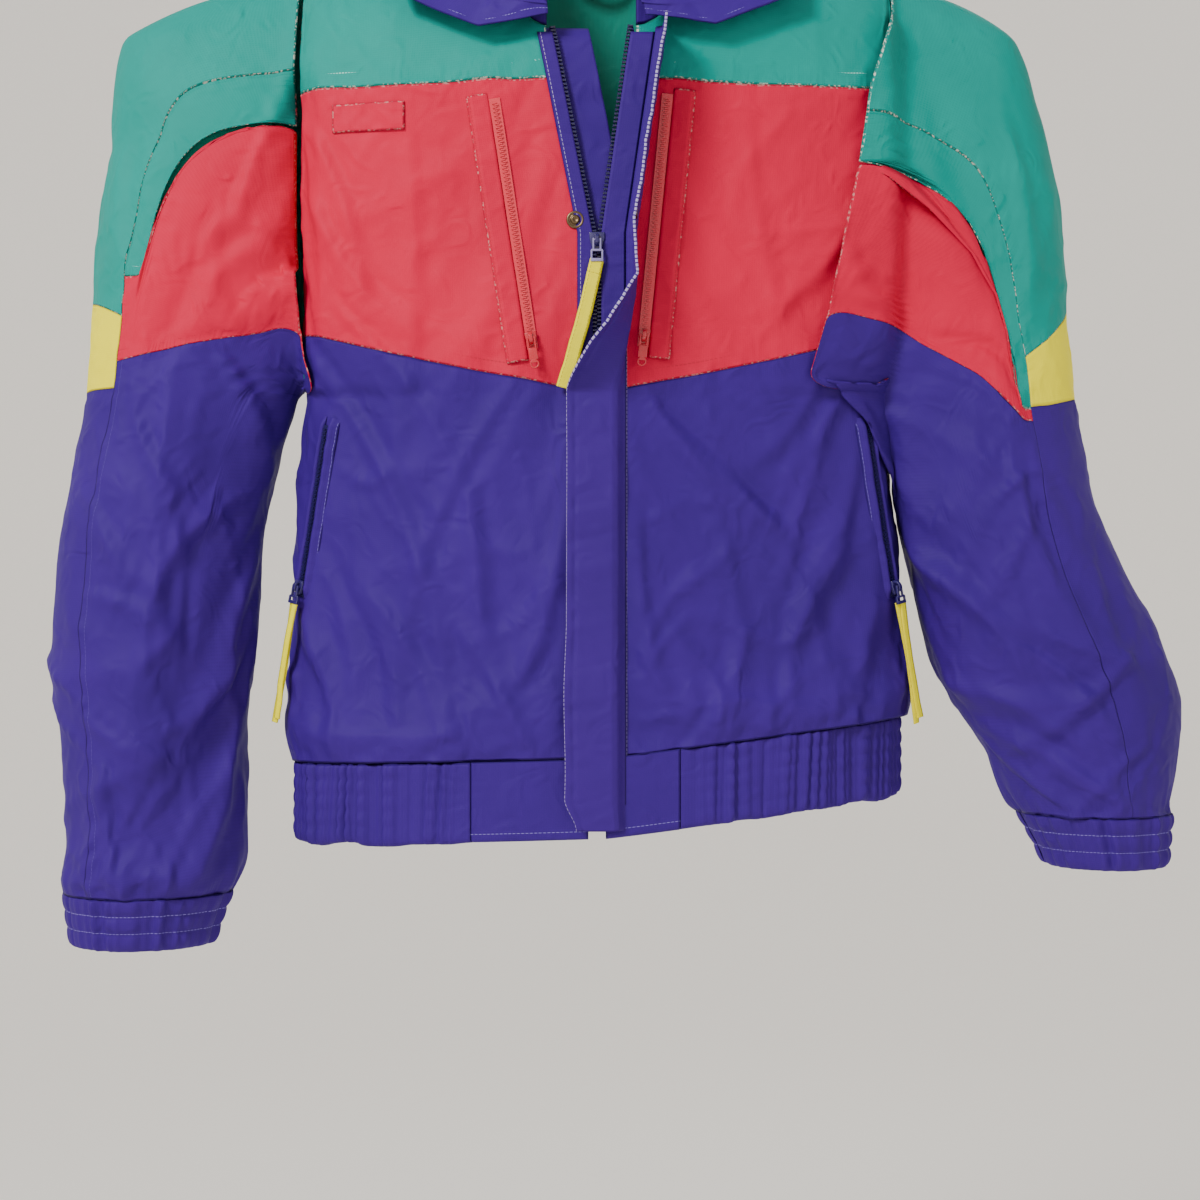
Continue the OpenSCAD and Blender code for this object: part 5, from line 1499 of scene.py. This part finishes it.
def slider_body(name, wide, long, lift, at):
    """The slider's rounded top plate, its side walls and the bridge that holds the pull."""
    bm = bmesh.new()
    outline = [(0.5, 0.0), (0.5, -0.35), (0.36, -0.75), (0.3, -1.0)]
    ring = [(x * wide, z * long) for x, z in outline]
    ring = ring + [(-x, z) for x, z in reversed(ring)]
    for y0, y1 in ((-lift - 1.8, -lift), (-lift - 0.1, -lift + 1.2)):
        shrink = 1.0 if y1 == -lift else 0.93
        front = [bm.verts.new((x * shrink, y0, z * shrink)) for x, z in ring]
        rear = [bm.verts.new((x * shrink, y1, z * shrink)) for x, z in ring]
        bm.faces.new(front)
        bm.faces.new(rear[::-1])
        for k in range(len(ring)):
            n = (k + 1) % len(ring)
            bm.faces.new((front[k], rear[k], rear[n], front[n]))
    pin = -0.45 * long
    arch = [(-lift - 1.7, pin + 5.2), (-lift - 4.4, pin + 4.4), (-lift - 6.4, pin + 2.2),
            (-lift - 6.4, pin - 2.2), (-lift - 4.4, pin - 4.2), (-lift - 1.7, pin - 5.0)]
    inner = [(-lift - 1.7, pin + 3.2), (-lift - 3.4, pin + 2.4), (-lift - 5.2, pin + 1.6),
             (-lift - 5.2, pin - 1.6), (-lift - 3.4, pin - 2.4), (-lift - 1.7, pin - 3.2)]
    loops = []
    for x in (-1.5, 1.5):
        loops.append([[bm.verts.new((x, y, z)) for y, z in line] for line in (arch, inner)])
    for k in range(5):
        (a0, b0), (a1, b1) = loops
        bm.faces.new((a0[k], a0[k + 1], b0[k + 1], b0[k]))
        bm.faces.new((a1[k], b1[k], b1[k + 1], a1[k + 1]))
        bm.faces.new((a0[k], a1[k], a1[k + 1], a0[k + 1]))
        bm.faces.new((b0[k], b0[k + 1], b1[k + 1], b1[k]))
    bmesh.ops.recalc_face_normals(bm, faces=bm.faces)
    bm.transform(at)
    bmesh.ops.scale(bm, verts=bm.verts, vec=(MM, MM, MM))
    return rounded(object_of(bm, name), 0.5)


def pull_tab(name, long, lift, grip_w, grip_len, at, ring=False):
    """The pin, two arms and grip of a pull. With ring, the grip narrows to a small eye."""
    y, z = -(lift + 4.5), -0.45 * long
    boxes = [((side * 2.75, y, z - 3.4), (1.5, 1.8, 9.2)) for side in (RIGHT, LEFT)]
    rods = [((0, y, z), 0.75, 7.0, "x")]
    if ring:
        boxes.append(((0, y, z - 8 - grip_len * 0.32), (grip_w, 1.8, grip_len * 0.66)))
        boxes.append(((0, y, z - 8 - grip_len * 0.7), (grip_w * 0.6, 1.6, grip_len * 0.25)))
    else:
        boxes.append(((0, y, z - 8 - grip_len + 1.2), (grip_w, 2.2, 2.6)))
        boxes.append(((0, y, z - 8.2), (grip_w * 0.9, 1.8, 1.8)))
        for side in (RIGHT, LEFT):
            boxes.append(((side * (grip_w / 2 - 0.8), y, z - 8 - grip_len / 2),
                          (1.6, 1.9, grip_len)))
    made = solid(name, boxes, rods, at, 0.5)
    if ring:
        bpy.ops.mesh.primitive_torus_add(major_radius=3.0 * MM, minor_radius=0.8 * MM,
                                         major_segments=40, minor_segments=14)
        eye = bpy.context.object
        turn = at @ Matrix.Translation((0, y, z - 8 - grip_len + 1.6)) @ \
            Matrix.Rotation(math.pi / 2, 4, "X")
        turn.translation = turn.translation * MM
        eye.data.transform(turn)
        eye.name = name + "_eye"
        return made, eye
    return made, None


def webbing_place(at, long, lift, drop, length, lean_a, wide, bow=0.0, offset=(0, 0, 0), seed=0):
    """A strip that hangs from a pull's grip: its path bows and its edges ripple a little."""
    y, z = -(lift + 4.5) + offset[1], -0.45 * long - 8 - drop + offset[2]
    lean_r = math.radians(lean_a)

    def place(u, v):
        s = (1 - v) * length
        w = (u - 0.5) * wide * (1 - 0.05 * np.abs(wander(s / 9, 41 + seed, 1)))
        bend = bow * np.sin(np.pi * (1 - v)) + 0.5 * wander(s / 16, 42 + seed, 2) * (1 - v)
        twist = 0.05 * wander(s / 34, 43 + seed, 1) * (1 - v)
        x = w + bend
        p = np.stack([offset[0] + x * math.cos(lean_r) - s * math.sin(lean_r),
                      y + w * twist - 0.4 * np.abs(np.sin(np.pi * v)),
                      z - s * math.cos(lean_r) - x * math.sin(lean_r)], -1)
        m = np.array(at)
        return p @ m[:3, :3].T + m[:3, 3]
    return place


# %% [markdown]
# The main slider has a wide plate, a bridge and a narrow pull with a webbing strip sewn to it.

# %% Main slider and its pull
main = slider_body("main_slider_zinc", 12, 14, 1.0, AT_MAIN)
finish_piece(main, "main_slider", purple_zinc, ["main_slider"])
tab, _ = pull_tab("main_pull_zinc", 14, 1.0, 10, 9, AT_MAIN)
finish_piece(tab, "main_pull", lilac_zinc, ["main_puller"])
strip = patch("main_webbing_cloth", webbing_place(AT_MAIN, 14, 1.0, 7.5, 103, 15, 11.5, 1.5),
              14, 60, wall=2.0, smooth_by=1, sewn="lr", topstitch="lr", stitch_at=2.0,
              rows_at=(0.9, 0.03))
finish_piece(strip, "main_pull", yellow_webbing, ["main_webbing"])

# %% [markdown]
# A chest pocket has a welt that stands beside its zipper. A side pocket opens in the side seam
# and has a doubled webbing strip that a gloved hand can find.

# %% Pockets
for label, side in (("right", RIGHT), ("left", LEFT)):
    at = AT["chest", side]
    m = np.array(at)
    out = -1 if side == RIGHT else 1

    def welt_place(u, v, m=m, side=side, out=out):
        """The welt is a folded strip on the outer side, with its fold towards the teeth."""
        x = out * mix(4.4, 22.0, u)
        z = mix(-21.0, 190.0, v)
        y = -2.2 * np.sqrt(np.clip(1 - (1 - np.clip(u / 0.16, 0, 1)) ** 2, 0, 1)) \
            + 1.9 * smooth((u - 0.75) / 0.25) - 0.5 * wander(z / 14, 51 + side, 2) * (1 - u)
        p = np.stack([x, y, z], -1)
        p = p @ m[:3, :3].T + m[:3, 3]
        return p
    welt = patch(f"{label}_chest_welt_cloth", welt_place, 24, 120, wall=1.6, smooth_by=1,
                 sewn="tbr", topstitch="tbr", stitch_at=2.4)
    finish_piece(welt, "jacket_body", red_nylon, [f"{label}_chest_welt"])
    declare(welt, "folded")
    slide = slider_body(f"{label}_chest_slider_zinc", 9, 11, 3.2, at)
    finish_piece(slide, f"{label}_chest_slider", red_zinc,
                 [f"{label}_chest_slider"])
    tab, eye = pull_tab(f"{label}_chest_puller_zinc", 11, 3.2, 7, 14, at, ring=True)
    finish_piece(tab, f"{label}_chest_puller", red_zinc, [f"{label}_chest_puller"])
    finish_piece(eye, f"{label}_chest_puller", red_zinc, [])
    at = AT["side", side]
    slide = slider_body(f"{label}_side_slider_zinc", 9, 11, 3.2, at)
    finish_piece(slide, f"{label}_side_slider", purple_zinc,
                 [f"{label}_side_slider"])
    tab, _ = pull_tab(f"{label}_side_pull_zinc", 11, 3.2, 11, 6, at)
    finish_piece(tab, f"{label}_side_pull", purple_zinc,
                 [f"{label}_side_pull"])
    for k, (shift, length) in enumerate(((-2.2, 100), (2.2, 96))):
        strip = patch(f"{label}_side_webbing_{k + 1}",
                      webbing_place(at, 11, 3.2, 4.6, length, 0, 6.5, 2.2 * (1 - 2 * k),
                                    (shift, 1.2 - 1.6 * k, 0), 3 * k + side),
                      8, 60, wall=1.2, smooth_by=1, sewn="lr", topstitch="lr", stitch_at=1.4)
        finish_piece(strip, f"{label}_side_pull", yellow_webbing, [])


def teeth_row(name, chains, material, nodes):
    """Small moulded teeth either side of a closed pocket zipper, on a narrow tape."""
    bm = bmesh.new()
    for at, length in chains:
        for k in range(int((length + 11) / 1.6)):
            z = -11 + 1.6 * k
            side = 1 if k % 2 else -1
            block(bm, (side * 0.7, -2.1, z), (3.4, 1.4, 1.0), at)
        block(bm, (0, -1.3, length / 2 - 6), (8.6, 0.6, length + 14), at)
    bmesh.ops.scale(bm, verts=bm.verts, vec=(MM, MM, MM))
    finish_piece(object_of(bm, name, shade=False), "jacket_body", material, nodes)


teeth_row("chest_zip_teeth", [(AT["chest", s], 184) for s in (RIGHT, LEFT)], red_acetal,
          ["chest_pocket_zips"])
teeth_row("side_zip_teeth", [(AT["side", s], 126) for s in (RIGHT, LEFT)], navy_acetal,
          ["side_pocket_zips"])

# %% [markdown]
# The side zipper lies between two soft lips. The label is plain cloth, stitched all round, and
# the loop inside the neck is a narrow folded strip that sags.

# %% Side pocket lips, label and hanger loop
for label, side in (("right", RIGHT), ("left", LEFT)):
    m = np.array(AT["side", side])
    for k in (-1, 1):
        def lip_place(u, v, m=m, k=k, side=side):
            """A soft lip of cloth that rolls over the edge of the side zipper."""
            x = k * mix(2.4, 11.0, u)
            z = mix(-14.0, 134.0, v)
            ends = smooth(v / 0.06) * smooth((1 - v) / 0.06)
            y = -3.4 * np.sqrt(np.clip(1 - (1 - np.clip(u / 0.3, 0, 1)) ** 2, 0, 1)) * ends \
                + 5.0 * smooth((u - 0.35) / 0.65) + 0.4 * wander(z / 12, 61 + k, 2)
            return np.stack([x, y, z], -1) @ m[:3, :3].T + m[:3, 3]
        lip = patch(f"{label}_side_lip_{'in' if k < 0 else 'out'}", lip_place, 16, 90, wall=1.0,
                    smooth_by=1, sewn="r", topstitch="r", stitch_at=2.0)
        finish_piece(lip, "jacket_body", purple_nylon, [])
        declare(lip, "folded")

LABEL_X, LABEL_Z = (151.0, 209.0), (-158.0, -136.0)


def label_place(u, v):
    x, z = mix(*LABEL_X, u), mix(*LABEL_Z, v)
    y = [body_y(RIGHT, a, b) - 1.6 for a, b in zip(np.ravel(x), np.ravel(z))]
    return np.stack([-x, np.reshape(y, np.shape(x)), z], -1)


tag = patch("label_patch_cloth", label_place, 30, 14, wall=0.8, smooth_by=1, topstitch="tblr",
            stitch_at=2.6)
finish_piece(tag, "jacket_body", red_nylon, ["label_patch"])
declare(tag, "laid")
LOOP = np.array([(-1, 0, 9), (-0.85, -2.5, 6), (-0.6, -5, 3), (-0.3, -6.6, 1), (0, -7, 0),
                 (0.3, -6.6, 1), (0.6, -5, 3), (0.85, -2.5, 6), (1, 0, 9)], float)
LOOP_Y = SIDE_Y + (NECK_BACK - STAND_T) * math.cos(math.radians(20)) - 9.5


def loop_place(u, v):
    f = u * 8
    p = np.stack([np.interp(f, range(9), LOOP[:, k]) for k in range(3)], -1)
    return np.stack([26 * p[..., 0], LOOP_Y + p[..., 1] - 0.6, p[..., 2] - 4 + 8 * v], -1)


loop = patch("hanger_loop_cloth", loop_place, 60, 8, wall=1.2, smooth_by=1, topstitch="tb",
             stitch_at=1.4)
finish_piece(loop, "jacket_body", purple_nylon, ["hanger_loop"])
declare(loop, "hung")
